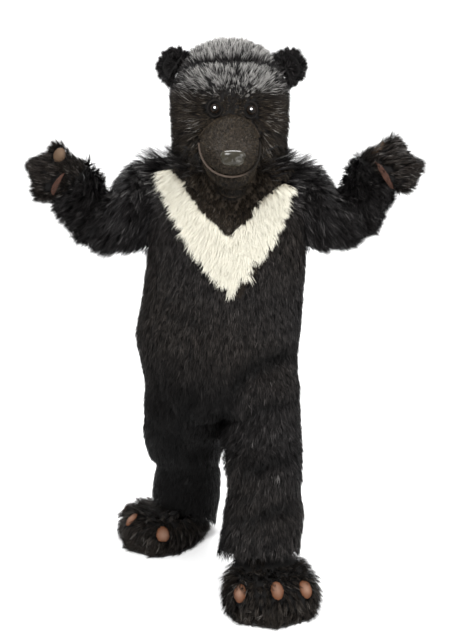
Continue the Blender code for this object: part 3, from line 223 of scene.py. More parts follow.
darkPile = {                           # linear colours; each kind of hair runs from dull to bright
    "root": (0.0008, 0.0007, 0.0007),
    "black": ((0.0026, 0.0024, 0.0025), (0.0500, 0.0463, 0.0474)),
    "brown": ((0.0070, 0.0050, 0.0032), (0.0640, 0.0475, 0.0300)),
    # grey tips: partly grey-tipped hair, partly painted sheen and highlight where a style raises
    # them
    "grey": (0.3700, 0.3600, 0.3450),
    "rootEnds": 1.4,                   # more ends the root's colour nearer to the cloth
    "greyFrom": 0.20,                  # share of the hair where a grey tip starts
    "greyRise": 1.25,                  # how sharply it starts
    "greyEdge": 3.0,                   # how sharply grey hairs differ from dark ones
}
creamPile = {"root": (0.34, 0.30, 0.22), "tip": (0.56, 0.54, 0.46)}
colours = {                            # linear, dark and light, and a third for a pad's middle, paler by painted sheen, or for the lip cord's end, darker by painted shade
    "blackBacking": ((0.0015, 0.0014, 0.0013), (0.006, 0.0052, 0.005)),
    "brownBacking": ((0.010, 0.007, 0.0045), (0.030, 0.022, 0.015)),
    "creamBacking": ((0.34, 0.30, 0.23), (0.50, 0.46, 0.38)),
    "toeSuede": ((0.036, 0.012, 0.0045), (0.110, 0.040, 0.016), (0.175, 0.105, 0.075)),
    "palmSuede": ((0.018, 0.0075, 0.0048), (0.048, 0.021, 0.014)),
    "tanSuede": ((0.022, 0.012, 0.0065), (0.060, 0.036, 0.020), (0.075, 0.048, 0.030)),
    "lidSuede": ((0.0020, 0.0014, 0.0010), (0.0060, 0.0042, 0.0030)),
    "lipCord": ((0.018, 0.012, 0.009), (0.085, 0.064, 0.050), (0.006, 0.0045, 0.003)),
    "polishedNose": ((0.006, 0.005, 0.003), (0.024, 0.020, 0.012)),
    "glassEye": ((0.0030, 0.0025, 0.0022), (0.0100, 0.0065, 0.0045)),
    "soleRubber": ((0.018, 0.018, 0.018), (0.05, 0.05, 0.05)),
    "zipTape": ((0.004, 0.004, 0.0045), (0.012, 0.012, 0.013)),
    "zipTeeth": ((0.020, 0.020, 0.022), (0.050, 0.050, 0.054)),
}


def pileParts(finish):
    # the hair attribute: share of the length, scaled by painted shade, chance of the hair, share
    # of grey hairs, how brown
    source = finish.node("ShaderNodeAttribute", {"attribute_name": "pile"})
    split = finish.node("ShaderNodeSeparateColor", inputs={0: source})
    return split, split.other(1), split.other(2), source.other("Alpha")


def darkPileFinish():
    finish = Finish("blackPile", 0.42, 0.07)
    along, luck, grey, brown = pileParts(finish)
    bright = luck * luck * luck
    cool, warm = (finish.blend(bright, *darkPile[kind]) for kind in ("black", "brown"))
    body = finish.blend(brown, cool, warm)
    hair = finish.blend((along * darkPile["rootEnds"]).clamped(), darkPile["root"], body)
    # grey tips: partly grey-tipped hair, partly painted sheen
    tip = ((along - darkPile["greyFrom"]) * darkPile["greyRise"]).clamped()
    chosen = ((luck + grey - 1.0) * darkPile["greyEdge"]).clamped()
    finish.paint(tip * chosen, hair, darkPile["grey"])
    return finish.material


def creamPileFinish():
    finish = Finish("creamPile", 0.62, 0.15)
    along, luck, *_ = pileParts(finish)
    shade = (along * 1.1 + luck * 0.35 + 0.10).clamped()
    finish.paint(shade, creamPile["root"], creamPile["tip"])
    return finish.material


def backingFinish(name):
    # the knitted ground under the pile: fine rows and short underfur
    finish = Finish(name, 0.9, 0.2)
    rows = finish.node("ShaderNodeMapping", inputs={
        "Vector": finish.place(), "Scale": (1.0, 1.0, 0.35)})
    grain = finish.noise(420.0, 4.0, 0.65, rows)
    finish.paint(grain, *colours[name])
    finish.bump(grain, 0.6, 0.002)
    return finish.material


def suedeFinish(name):
    # short napped cloth: fine grain, soft patches, and a painted sheen that pales a pad's middle
    finish = Finish(name, 0.8, 0.15)
    dark, light, *paintedSheen = colours[name]
    patches = finish.noise(38.0)
    grain = finish.noise(900.0, roughness=0.7)
    cloth = finish.blend((patches * 0.7 + grain * 0.5 - 0.1).clamped(), dark, light)
    # a painted sheen pales the pad's middle
    if paintedSheen:
        middle = finish.node("ShaderNodeAttribute", {"attribute_name": "middle"}, output="Fac")
        cloth = finish.blend((middle * (patches + 0.35)).clamped(), cloth, *paintedSheen)
    finish.feed("Base Color", cloth)
    finish.bump(grain * 0.6 + patches * 0.8, 0.45, 0.0012)
    return finish.material


def lipFinish():
    # brown cord that turns as dark as the pile up its left end: painted shade under the pile there
    finish = Finish("lipCord", 0.8, 0.15)
    dark, light, end = colours["lipCord"]
    across = finish.node("ShaderNodeSeparateXYZ", inputs={"Vector": finish.place()})
    cord = finish.blend(finish.noise(500.0), dark, light)
    # painted shade darkens the cord's left end
    finish.paint(((across - 0.045) * 30.0).clamped(), cord, end)
    return finish.material


def noseFinish():
    finish = Finish("polishedNose", 0.5, 0.22)
    finish.fix("Coat Weight", 0.15)
    finish.fix("Coat Roughness", 0.10)
    pores = finish.node("ShaderNodeTexVoronoi", inputs={"Vector": finish.place(), "Scale": 420.0})
    cloud = finish.noise(60.0)
    finish.paint(cloud, *colours["polishedNose"])
    finish.feed("Roughness", (cloud * 0.16 + 0.14).clamped())
    finish.bump(pores * 0.6 + cloud, 0.12, 0.001)
    return finish.material


def rubberFinish():
    finish = Finish("soleRubber", 0.8, 0.35)
    grain = finish.noise(350.0)
    finish.paint(grain, *colours["soleRubber"])
    finish.bump(finish.wave("DIAGONAL", 42.0, 0.4) * 0.8 + grain * 0.3, 0.5, 0.0015)
    return finish.material


def tapeFinish():
    # zip tape: a fine twill with cross ribs
    finish = Finish("zipTape", 0.75, 0.3)
    ribs = finish.wave("Z", 420.0, 0.6)
    finish.paint(ribs, *colours["zipTape"])
    finish.bump(ribs, 0.4, 0.0006)
    return finish.material


def teethFinish():
    finish = Finish("zipTeeth", 0.32, 0.5)
    finish.paint(finish.noise(300.0), *colours["zipTeeth"])
    return finish.material


darkHairs = darkPileFinish()
furs = {                               # slot: the finish of its hairs and of the cloth under them
    "black_fur": (darkHairs, backingFinish("blackBacking")),
    "brown_fur": (darkHairs, backingFinish("brownBacking")),
    "cream_fur": (creamPileFinish(), backingFinish("creamBacking")),
}
sides = ("left", "right")


def putMesh(name, points, faces, material, smooth=True):
    # points (n, 3) and triangles or quads (m, 3 or 4), given to Blender as whole arrays
    mesh = bpy.data.meshes.new(name)
    mesh.vertices.add(len(points))
    mesh.vertices.foreach_set("co", np.ascontiguousarray(points, np.float32).ravel())
    mesh.loops.add(faces.size)
    mesh.loops.foreach_set("vertex_index", np.ascontiguousarray(faces, np.int32).ravel())
    mesh.polygons.add(len(faces))
    mesh.polygons.foreach_set("loop_start", np.arange(len(faces), dtype=np.int32) * faces.shape[1])
    mesh.polygons.foreach_set("use_smooth", np.full(len(faces), smooth))
    mesh.update(calc_edges=True)
    mesh.materials.append(material)
    piece = bpy.data.objects.new(name, mesh)
    bpy.context.scene.collection.objects.link(piece)
    return piece


def gridPoints(x, y, z):
    # the points of a grid, from three arrays or numbers that are spread over it
    return np.stack(np.broadcast_arrays(x, y, z), -1).reshape(-1, 3)


def gridFaces(rows, columns, wraps=False, closes=False):
    # quads of a grid of points; one that wraps also joins its last column to its first, and one
    # that closes its last row to its first
    row, column = np.meshgrid(np.arange(rows if closes else rows - 1),
                              np.arange(columns if wraps else columns - 1), indexing="ij")
    after = (column + 1) % columns
    low, high = row * columns, (row + 1) % rows * columns
    return np.stack([low + column, low + after, high + after, high + column], -1).reshape(-1, 4)


sweepFloor = {
    "height": -1.46,
    "halfWidth": 9.0,
    "front": -6.0,
    "bendStart": 2.6,                  # where the floor starts to curve up into the backdrop
    "bendRadius": 2.2,
    "top": 6.0,
    "colour": (0.90, 0.90, 0.90),
}


def makeFloor():
    # a profile along Y, flat and then a quarter round up into a wall, carried along X
    radius, start = sweepFloor["bendRadius"], sweepFloor["bendStart"]
    turn = np.linspace(0, math.pi / 2, 24)
    x = np.array([-1.0, 1.0]) * sweepFloor["halfWidth"]
    y = np.concatenate([[sweepFloor["front"]], start + radius * np.sin(turn), [start + radius]])
    z = np.concatenate([[0.0], radius * (1 - np.cos(turn)), [sweepFloor["top"]]])
    points = gridPoints(x, y[:, None], z[:, None] + sweepFloor["height"])
    finish = Finish("paleFloor", 0.9, 0.2)
    finish.fix("Base Color", (*sweepFloor["colour"], 1.0))
    floor = putMesh("studioFloor", points, gridFaces(len(y), 2)[:, ::-1], finish.material)
    floor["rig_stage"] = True


def unit(vectors):
    return vectors / np.maximum(np.linalg.norm(vectors, axis=-1, keepdims=True), 1e-9)


def rise(value, low, high):
    # 0 below low, 1 above high, and a smooth step between
    share = np.clip((value - low) / (high - low), 0.0, 1.0)
    return share * share * (3 - 2 * share)


def bell(value, middle, half):
    # 1 at the middle and less to both sides: exp(-((value - middle) / half)^2)
    return np.exp(-((value - middle) / half) ** 2)


def nearestOn(points, line):
    # the spot nearest to each point on a line of straight stretches, which stretch that is, and
    # the share of the stretch gone
    starts, ways = line[:-1], np.diff(line, axis=0)
    share = ((points[:, None] - starts) * ways).sum(axis=-1) / (ways ** 2).sum(axis=1)
    share = np.clip(share, 0.0, 1.0)
    spots = starts + share[..., None] * ways
    near = np.linalg.norm(points[:, None] - spots, axis=-1).argmin(axis=1)
    rows = np.arange(len(points))
    return spots[rows, near], near, share[rows, near]


middleLines = {                        # lines inside each hollow, in metres from the shoulder line
    "torso": ((0.0, 0.0, -0.20), (0.0, 0.0, -0.66)),
    "leg_left": ((0.105, 0.0, -0.66), (0.128, -0.20, -1.20), (0.136, -0.24, -1.36)),
    "leg_right": ((-0.105, 0.0, -0.66), (-0.165, 0.17, -1.20), (-0.180, 0.22, -1.36)),
    "sleeve_left": ((0.26, 0.0, -0.13), (0.40, 0.005, -0.155), (0.47, -0.044, -0.11),
                    (0.51, -0.105, -0.01)),
    "sleeve_right": ((-0.26, 0.0, -0.12), (-0.41, 0.005, -0.17), (-0.48, -0.044, -0.135),
                     (-0.524, -0.105, -0.05)),
    "glove_left": ((0.500, -0.09, -0.03), (0.545, -0.148, 0.0), (0.575, -0.160, 0.010)),
    "glove_right": ((-0.515, -0.09, -0.07), (-0.556, -0.148, -0.025), (-0.590, -0.160, -0.01)),
    "head": ((0.011, 0.03, 0.12), (0.011, 0.03, 0.26)),
    "neck": ((0.011, 0.0, -0.30), (0.011, 0.0, -0.05)),
    "snout": ((0.012, -0.10, 0.07), (0.015, -0.25, 0.02)),
    "foot_left": ((0.136, -0.20, -1.23), (0.136, -0.24, -1.36), (0.146, -0.36, -1.44)),
    "foot_right": ((-0.170, 0.18, -1.23), (-0.180, 0.22, -1.36), (-0.26, 0.15, -1.44)),
}
middleLines = {name: np.array(line) for name, line in middleLines.items()}
lineOf = {                             # the line of a family of nodes that has none of its own
    "suit": "torso", "chest": "torso", "back": "torso", "ear": "head", "muzzle": "snout",
    "jaw": "snout", "palm": "glove", "finger": "glove", "toe": "foot",
}


def facesOf(node):
    # corner points (m, 3, 3) of a node's triangles
    mesh = nodes[node].data
    mesh.calc_loop_triangles()
    points = np.empty(len(mesh.vertices) * 3)
    mesh.vertices.foreach_get("co", points)
    corners = np.empty(len(mesh.loop_triangles) * 3, np.int32)
    mesh.loop_triangles.foreach_get("vertices", corners)
    return points.reshape(-1, 3)[corners].reshape(-1, 3, 3)


def outerFaces(node, thinnest=0.0036, turned=0.1):
    # keeps the triangles that look away from the node's middle line, and drops the thin rims
    words = node.rstrip("_123").split("_")
    family = lineOf.get(words[0], words[0])
    line = middleLines[family if family in middleLines else f"{family}_{words[-1]}"]
    triangles = facesOf(node)
    centre = triangles.mean(axis=1)
    edges = np.roll(triangles, -1, axis=1) - triangles
    normal = np.cross(edges[:, 0], edges[:, 1])
    longest = np.linalg.norm(edges, axis=2).max(axis=1)
    height = np.linalg.norm(normal, axis=1) / np.maximum(longest, 1e-9)
    looks = (unit(normal) * unit(centre - nearestOn(centre, line)[0])).sum(axis=1)
    return triangles[(looks > turned) & (height > thinnest)]


def weld(points, faces, owner, reach):
    # merges points within reach of each other, and keeps which node each face came from
    mesh = bpy.data.meshes.new("weld")
    mesh.from_pydata(points.tolist(), [], faces.tolist())
    work = bmesh.new()
    work.from_mesh(mesh)
    layer = work.faces.layers.int.new("owner")
    for face, number in zip(work.faces, owner):
        face[layer] = int(number)
    bmesh.ops.remove_doubles(work, verts=work.verts, dist=reach)
    work.verts.index_update()
    points = np.array([vert.co[:] for vert in work.verts])
    faces = np.array([[vert.index for vert in face.verts] for face in work.faces])
    owner = np.array([face[layer] for face in work.faces])
    work.free()
    bpy.data.meshes.remove(mesh)
    return points, faces, owner


def crossOf(points, faces):
    # each triangle's normal, as long as twice its area
    corners = points[faces]
    return np.cross(corners[:, 1] - corners[:, 0], corners[:, 2] - corners[:, 0])


def cornerNormals(points, faces):
    # mean of the faces' normals at each point, by area
    normal = crossOf(points, faces)
    total = np.zeros_like(points)
    for corner in range(3):
        np.add.at(total, faces[:, corner], normal)
    return unit(total)


def roundedSurface(names, parts=3, fullness=0.75, reach=0.0012, **choice):
    # Each triangle of the named nodes' outer faces is cut into parts x parts smaller ones. A new
    # point is the flat one, moved by fullness towards the mean of its foot points on the corners'
    # tangent planes, which rounds the facets and leaves the corners where they are.
    pieces = [outerFaces(name, **choice) for name in names]
    owner = np.repeat(np.arange(len(names)), [len(piece) for piece in pieces])
    corners = np.concatenate(pieces).reshape(-1, 3)
    faces = np.arange(len(corners)).reshape(-1, 3)
    points, faces, owner = weld(corners, faces, owner, reach)
    normals = cornerNormals(points, faces)
    shares = [(i, j) for i in range(parts + 1) for j in range(parts + 1 - i)]
    number = {share: index for index, share in enumerate(shares)}
    small = []
    for i, j in shares:
        if i + j < parts:
            small.append((number[i, j], number[i + 1, j], number[i, j + 1]))
        if i + j < parts - 1:
            small.append((number[i + 1, j], number[i + 1, j + 1], number[i, j + 1]))
    u, v = np.array(shares).T / parts
    weights = np.stack([1 - u - v, u, v], -1)
    flat = np.einsum("pc,fcx->fpx", weights, points[faces])
    depth = np.einsum("fpcx,fcx->fpc", flat[:, :, None] - points[faces][:, None], normals[faces])
    foot = flat[:, :, None] - depth[..., None] * normals[faces][:, None]
    curved = flat + fullness * (np.einsum("pc,fpcx->fpx", weights, foot) - flat)
    count = len(shares)
    fine = (np.arange(len(faces))[:, None, None] * count + np.array(small)).reshape(-1, 3)
    points, fine, owner = weld(curved.reshape(-1, 3), fine, np.repeat(owner, len(small)), 2e-5)
    return {"names": list(names), "points": points, "faces": fine, "owner": owner,
            "normals": cornerNormals(points, fine), "shade": np.ones(len(points))}


creases = (                            # depth, half width, -1 front or 1 back, x and z along it
    (0.014, 0.022, -1, (0.004, -0.975), (0.006, -0.820), (0.033, -0.744), (0.071, -0.691),
     (0.122, -0.656), (0.195, -0.640), (0.262, -0.633)),
    (0.009, 0.016, -1, (0.030, -0.872), (0.119, -0.808), (0.250, -0.790)),
    (0.008, 0.014, -1, (0.022, -0.950), (0.096, -0.998), (0.150, -0.985)),
    (0.009, 0.015, -1, (0.050, -1.030), (0.170, -0.970), (0.250, -0.949)),
    (0.006, 0.012, -1, (0.010, -1.100), (0.118, -1.077)),
    (0.009, 0.015, -1, (0.039, -1.172), (0.162, -1.128), (0.250, -1.126)),
    (0.007, 0.012, -1, (0.079, -1.251), (0.234, -1.213)),
    (0.012, 0.020, -1, (-0.240, -1.110), (-0.180, -0.984), (-0.146, -0.855), (-0.108, -0.752)),
    (0.008, 0.014, -1, (-0.241, -1.190), (-0.180, -1.168), (-0.120, -1.140)),
    (0.006, 0.014, -1, (-0.190, -0.480), (-0.110, -0.515), (-0.040, -0.520)),
    (0.011, 0.020, 1, (0.050, -0.800), (0.130, -0.790), (0.240, -0.755)),
    (0.010, 0.016, 1, (0.060, -1.010), (0.240, -0.985)),
    (0.008, 0.014, 1, (0.080, -1.110), (0.150, -1.140), (0.230, -1.135)),
    (0.011, 0.020, 1, (-0.240, -0.765), (-0.150, -0.800), (-0.050, -0.810)),
    (0.010, 0.016, 1, (-0.270, -0.960), (-0.090, -0.990)),
    (0.008, 0.014, 1, (-0.270, -1.120), (-0.190, -1.110), (-0.120, -1.080)),
    (0.007, 0.020, 1, (-0.180, -0.560), (0.000, -0.600), (0.170, -0.580)),
)


def beside(flat, line):
    # how far each point lies to the right of a line of straight stretches, and the share gone
    spot, near, share = nearestOn(flat, line)
    ways, away = np.diff(line, axis=0), flat - spot
    sizes = np.linalg.norm(ways, axis=1)
    gone = (np.append(0.0, np.cumsum(sizes))[near] + share * sizes[near]) / sizes.sum()
    turn = ways[near, 0] * away[:, 1] - ways[near, 1] * away[:, 0]
    return -np.sign(turn) * np.linalg.norm(away, axis=1), gone


def pressCreases(surface):
    # Each crease is a bell-shaped trough along its line, with a lower ridge 1.8 widths to its
    # right, and fades at its ends. Its pile gets painted shade in the trough and a painted
    # highlight on the ridge.
    points, normals = surface["points"], surface["normals"]
    push, dark = np.zeros((2, len(points)))
    for deep, half, facing, *line in creases:
        side, gone = beside(points[:, [0, 2]], np.array(line))
        fade = np.sin(math.pi * np.clip(gone, 0.05, 0.95)) ** 0.5
        fade = fade * rise(normals[:, 1] * facing, 0.0, 0.4)
        shape = bell(side, 0.0, half) - 0.6 * bell(side, 1.8 * half, half)
        tone = bell(side, -0.3 * half, 1.4 * half) - 0.3 * bell(side, 2.2 * half, half)
        push += deep * fade * shape
        # painted shade along the trough, and a painted highlight on the ridge where it turns
        # negative
        dark += deep / 0.012 * fade * tone
    surface["points"] = points - normals * push[:, None]
    surface["shade"] = np.clip(1.0 - 1.5 * dark, 0.12, 1.5)
    surface["normals"] = cornerNormals(surface["points"], surface["faces"])


def directed(nap, normal):
    # the part of a direction that lies in the cloth
    return unit(nap - (nap * normal).sum(axis=1, keepdims=True) * normal)


def wander(spot, size, seed):
    # a slow smooth wave over the body, from -1 to 1: three sines along slanted directions
    ways = np.random.default_rng(seed).normal(size=(3, 3))
    return sum(np.sin(spot @ way / size + number) for number, way in enumerate(ways)) / 3


def treeOf(name):
    # a search tree of a node's triangles
    corners = facesOf(name).reshape(-1, 3)
    faces = np.arange(len(corners)).reshape(-1, 3)
    return BVHTree.FromPolygons(corners.tolist(), faces.tolist())


def gapTo(spot, name, reach=0.1):
    # distance from each spot to the named node, or reach where it is farther
    tree = treeOf(name)
    return np.array([tree.find_nearest(place, reach)[3] or reach for place in spot.tolist()])


def uncovered(spot, normal, names, near, above):
    # false where a named node is within near of the spot, or lies over it within above
    trees = [treeOf(name) for name in names]
    free = []
    for place, way in zip(spot.tolist(), normal.tolist()):
        start = Vector(place) + Vector(way) * 0.0005
        free.append(all(tree.find_nearest(place, near)[0] is None
                        and tree.ray_cast(start, way, above)[0] is None for tree in trees))
    return np.array(free)


def scatter(surface, names, style, count):
    # spots on the named nodes' part of the surface, spread evenly by area and by how thick the
    # pile is, with the normal and the shade there
    owners = [surface["names"].index(name) for name in names]
    faces = surface["faces"][np.isin(surface["owner"], owners)]
    middle = surface["points"][faces].mean(axis=1)
    facing = unit(surface["normals"][faces].mean(axis=1))
    area = np.linalg.norm(crossOf(surface["points"], faces), axis=1) / 2
    total = np.cumsum(area * style(middle, facing)["thick"])
    steps = (np.arange(count) + chance.random(count)) / count * total[-1]
    chosen = faces[np.searchsorted(total, steps)]
    first, second = chance.random((2, count))
    turned = first + second > 1
    first, second = np.where(turned, (1 - first, 1 - second), (first, second))
    shares = np.stack([1 - first - second, first, second], -1)
    spot, normal = ((surface[key][chosen] * shares[..., None]).sum(axis=1)
                    for key in ("points", "normals"))
    return spot, unit(normal), (surface["shade"][chosen] * shares).sum(axis=1)


hairForm = {                           # what all hairs share; spreads are standard deviations
    "napSpread": 0.16,
    "lengthSpread": 0.10, "lengths": (0.72, 1.12),
    "bendSpread": (0.13, 0.10),        # of a hair and of a tuft, in radians
    "rollSpread": 0.45, "widths": (0.7, 1.2),
    "taper": (0.42, 0.50, 0.32),       # half width where each stretch starts, as a share
    "levels": {2: (0.0, 0.5, 1.0), 3: (0.0, 0.36, 0.70, 1.0)},   # ends of 2 or 3 stretches
    "tuftLuck": 0.40,                  # how much of a hair's brightness its tuft decides
    "ridgeGrey": 0.2,                  # how much greyer it is where a crease's ridge catches light
}


def growPile(name, surface, names, style, slot, count, perTuft=12, covers=(), near=0.004,
             above=0.05, keep=None, stretches=2):
    # Tufts of flat tapered hairs, which start round each tuft's spot, sunk by the style's depth. A
    # hair leaves at an angle to the cloth, leans over along the nap as it goes, droops, and its
    # tip is drawn towards the tuft's own tip.
    spot, normal, shade = scatter(surface, names, style, count // perTuft)
    free = uncovered(spot, normal, covers, near, above)
    if keep is not None:
        free &= keep(spot)
    tufts = np.count_nonzero(free)
    hairs = tufts * perTuft

    def each(values):
        return np.repeat(values, perTuft, axis=0)

    look = style(spot[free], normal[free])
    spot, normal, shade = each(spot[free]), each(normal[free]), each(shade[free])
    look = {key: each(np.broadcast_to(value, (tufts,) + np.shape(value)[1:]))
            for key, value in look.items()}
    grey = look["grey"] + hairForm["ridgeGrey"] * np.maximum(shade - 1.0, 0.0)
    nap = each(chance.normal(0, hairForm["napSpread"], (tufts, 3)))
    nap = directed(look["nap"] + nap, normal)
    cross = np.cross(normal, nap)
    angle = chance.random(hairs) * 2 * math.pi
    offset = np.sqrt(chance.random(hairs)) * look["spread"]
    aside = (np.cos(angle) * offset)[:, None] * nap + (np.sin(angle) * offset)[:, None] * cross
    length = look["length"] * each(1 + chance.normal(0, hairForm["lengthSpread"], tufts))
    length = length * chance.uniform(*hairForm["lengths"], hairs)
    ofHair, ofTuft = hairForm["bendSpread"]
    bend = chance.normal(0, ofHair, hairs) + each(chance.normal(0, ofTuft, tufts))
    levels = np.array(hairForm["levels"][stretches])
    path = [np.zeros((hairs, 3))]
    for low, high in zip(levels[:-1], levels[1:]):
        share = (low + high) / 2
        lean = look["stand"] + (look["lie"] - look["stand"]) * share ** 0.7 + bend * 0.6
        over = nap + cross * (bend * 1.6)[:, None]
        way = np.cos(lean)[:, None] * normal + np.sin(lean)[:, None] * over
        way = unit(way + gridPoints(0.0, 0.0, -look["droop"] * share))
        path.append(path[-1] + way * (length * (high - low))[:, None])
    root = spot - normal * look["depth"][:, None]
    gather = look["gather"][:, None]
    line = [root + aside * (1 - gather * share ** 1.4) + step for share, step in zip(levels, path)]
    roll = chance.normal(0, hairForm["rollSpread"], hairs)[:, None]
    flat = cross * np.cos(roll) + normal * np.sin(roll)
    flat = flat * (look["width"] * chance.uniform(*hairForm["widths"], hairs))[:, None]
    edges = [middle + flat * side * share for middle, share in zip(line[:-1], hairForm["taper"])
             for side in (-1, 1)]
    points = np.stack(edges + [line[-1]], axis=1)
    points[..., 2] = np.maximum(points[..., 2], sweepFloor["height"] + 0.001)
    last = points.shape[1] - 1
    pattern = [(low, low + 1, low + 3) for low in range(0, last - 2, 2)]
    pattern += [(low, low + 3, low + 2) for low in range(0, last - 2, 2)]
    pattern += [(last - 2, last - 1, last)]
    faces = (np.arange(hairs)[:, None, None] * (last + 1) + np.array(pattern)).reshape(-1, 3)
    piece = putMesh(name, points.reshape(-1, 3), faces, furs[slot][0])
    # the share of the length, scaled by the creases' painted shade and by the style's shade, draws
    # a hair towards its root colour
    along = (shade * look["shade"])[:, None] * np.append(np.repeat(levels[:-1], 2), 1.0)
    luck = each(chance.random(tufts)) * hairForm["tuftLuck"]
    luck = luck + chance.random(hairs) * (1 - hairForm["tuftLuck"])
    tone = np.broadcast_arrays(along, *(value[:, None] for value in (luck, grey, look["brown"])))
    layer = piece.data.color_attributes.new("pile", "FLOAT_COLOR", "POINT")
    layer.data.foreach_set("color", np.stack(tone, -1).astype(np.float32).ravel())
    print(f"{name}: {hairs} hairs, {len(faces)} triangles")
    return finishPiece(piece, slot)


# Where the pile lies, how long it is and how it is coloured, for each part of the set. Lengths are
# in metres and angles from the cloth's outward direction in radians. What a style leaves out is as
# here, or is worked out spot by spot.

plainStyle = {
    "width": 0.0017,                   # of a hair
    "spread": 0.008, "gather": 0.60,   # radius of a tuft's foot, and how far its tips draw together
    "stand": 0.75, "lie": 1.42,        # a hair's angle at its root and at its tip
    "droop": 0.0, "grey": 0.0, "brown": 0.0, "thick": 1.0, "shade": 1.0,
}


def dressed(style, nap, length=1.0, **given):
    # the values of every spot; length is a share of the style's own, and the depth follows it
    length = np.asarray(length)
    return {**plainStyle, **style, "nap": nap, "length": length * style["length"],
            "depth": length * style["depth"], **given}


bodyStyle = {"length": 0.036, "depth": 0.013, "spread": 0.007, "gather": 0.40}
forkSpot = {"x": -0.022, "z": -0.925, "half": 0.035}   # the hollow between the legs, with more hairs and painted light


def bodyPile(spot, normal):
    # Down the body, parted a little from the middle, with slow waves; outwards and longer over the
    # shoulders, with painted shade on the rear leg. Grey tips over the shoulders are partly
    # grey-tipped hair and partly painted sheen, and those on the thigh are a painted highlight. The
    # cloth is less sunk between the legs and at the collar, and the hollow between the legs gets
    # painted light.
    x, _, z = spot.T
    swing, sway = 0.16 * wander(spot, 0.16, 3), 0.12 * wander(spot, 0.2, 5)
    nap = gridPoints(swing + 0.10 * x / 0.2, sway, -1.0)
    shoulder, collar = rise(z, -0.20, -0.05), rise(z, -0.06, 0.01)
    nap = nap + shoulder[:, None] * gridPoints(np.sign(x) * 1.2, -0.2, 0.5)
    thigh = rise(x, 0.0, 0.1) * rise(-z, 0.6, 0.7)
    rearLegShade = rise(-z, 0.50, 0.88) * rise(-x, -0.03, 0.03)
    inner = rise(np.maximum(-normal[:, 0] * np.sign(x - 0.002), -normal[:, 2]), 0.2, 0.7)
    inner = inner * rise(-z, 0.62, 0.70) * (1 - rise(-z, 0.96, 1.12))
    half = forkSpot["half"]
    fork = bell(x, forkSpot["x"], half) * bell(z, forkSpot["z"], half) * (normal[:, 1] < 0.2)
    look = dressed(bodyStyle, nap,
                   1.0 + 0.14 * wander(spot, 0.10, 8) + 0.65 * shoulder + 0.35 * collar,
                   stand=0.95 - 0.50 * shoulder - 0.15 * collar,
                   lie=1.48 - 0.30 * shoulder - 0.25 * collar,
                   # grey tips: partly painted sheen on the shoulders, a painted highlight on the
                   # thigh
                   grey=0.04 + 0.22 * shoulder + 0.02 * thigh,
                   brown=(0.20 + 0.20 * wander(spot, 0.12, 9)) * (1 - 0.8 * shoulder),
                   # painted shade on the rear leg and painted light in the hollow between the legs
                   shade=1.15 - 1.06 * rearLegShade + 0.5 * fork, thick=1.0 + 1.5 * fork)
    look["depth"] = look["depth"] * (1 - (1.5 + 1.6 * fork) * inner) * (1 - 0.9 * collar)
    return look


sleeveStyle = {"length": 0.052, "depth": 0.017, "width": 0.0018, "spread": 0.009, "gather": 0.62,
               "stand": 0.50, "lie": 1.22, "droop": 0.25, "brown": 0.05, "shade": 0.75}


def sleevePile(side):
    line = middleLines[f"sleeve_{side}"]

    def style(spot, normal):
        # from the shoulder to the cuff, and hanging where the arm lets it; greyer where it faces
        # up, a painted highlight
        inside = nearestOn(spot + 1e-4, line)[0]
        way = np.zeros_like(spot)
        for start, end in zip(line[:-1], line[1:]):
            far = np.linalg.norm(inside - (start + end) / 2, axis=1)
            way += unit(end - start) * bell(far, 0.0, 0.07)[:, None]
        nap = unit(way) * 0.75 + (0.0, 0.0, -0.75)
        return dressed(sleeveStyle, nap, 1.0 + 0.16 * wander(spot, 0.06, 12),
                       # a painted highlight: greyer where the pile faces up
                       grey=0.15 + 0.20 * rise(normal[:, 2], 0.1, 0.9))
    return style


gloveStyle = {"length": 0.036, "depth": 0.012, "stand": 0.55, "lie": 1.20, "droop": 0.15,
              "grey": 0.17, "brown": 0.40, "shade": 1.25}
handTips = {"left": (0.640, -0.19, 0.03), "right": (-0.655, -0.19, 0.0)}


def glovePile(side):
    wrist = middleLines[f"glove_{side}"][0]

    def style(spot, normal):
        # from the wrist to the finger tips, a little outwards and down
        nap = unit(handTips[side] - wrist) + unit(spot - wrist) * 0.8 + (0.0, 0.0, -0.25)
        return dressed(gloveStyle, nap, 1.0 + 0.15 * wander(spot, 0.04, 14))
    return style


footStyle = {"length": 0.042, "depth": 0.014, "stand": 0.5, "lie": 1.15, "droop": 0.12,
             "grey": 0.16, "brown": 0.50, "shade": 1.25}


def footPile(side):
    ankle = middleLines[f"foot_{side}"][1]

    def style(spot, normal):
        # from the shaft out over the toes and down to the sole, thicker low down
        low = rise(-spot[:, 2], 1.38, 1.44)
        nap = unit((spot - ankle) * (1, 1, 0.2)) + gridPoints(0.0, 0.0, -0.55 * (1 - 0.7 * low))
        return dressed(footStyle, nap, 1.0 + 0.20 * wander(spot, 0.03, 16), thick=1 + 0.8 * low)
    return style


headStyle = {                          # its lengths run from shortest to longest, in metres
    "shortest": 0.009, "longest": 0.042, "length": 1.0, "depth": 0.40,
    "width": 0.0016, "spread": 0.007, "gather": 0.42,
}
browPoint = (0.024, -0.185, 0.185)


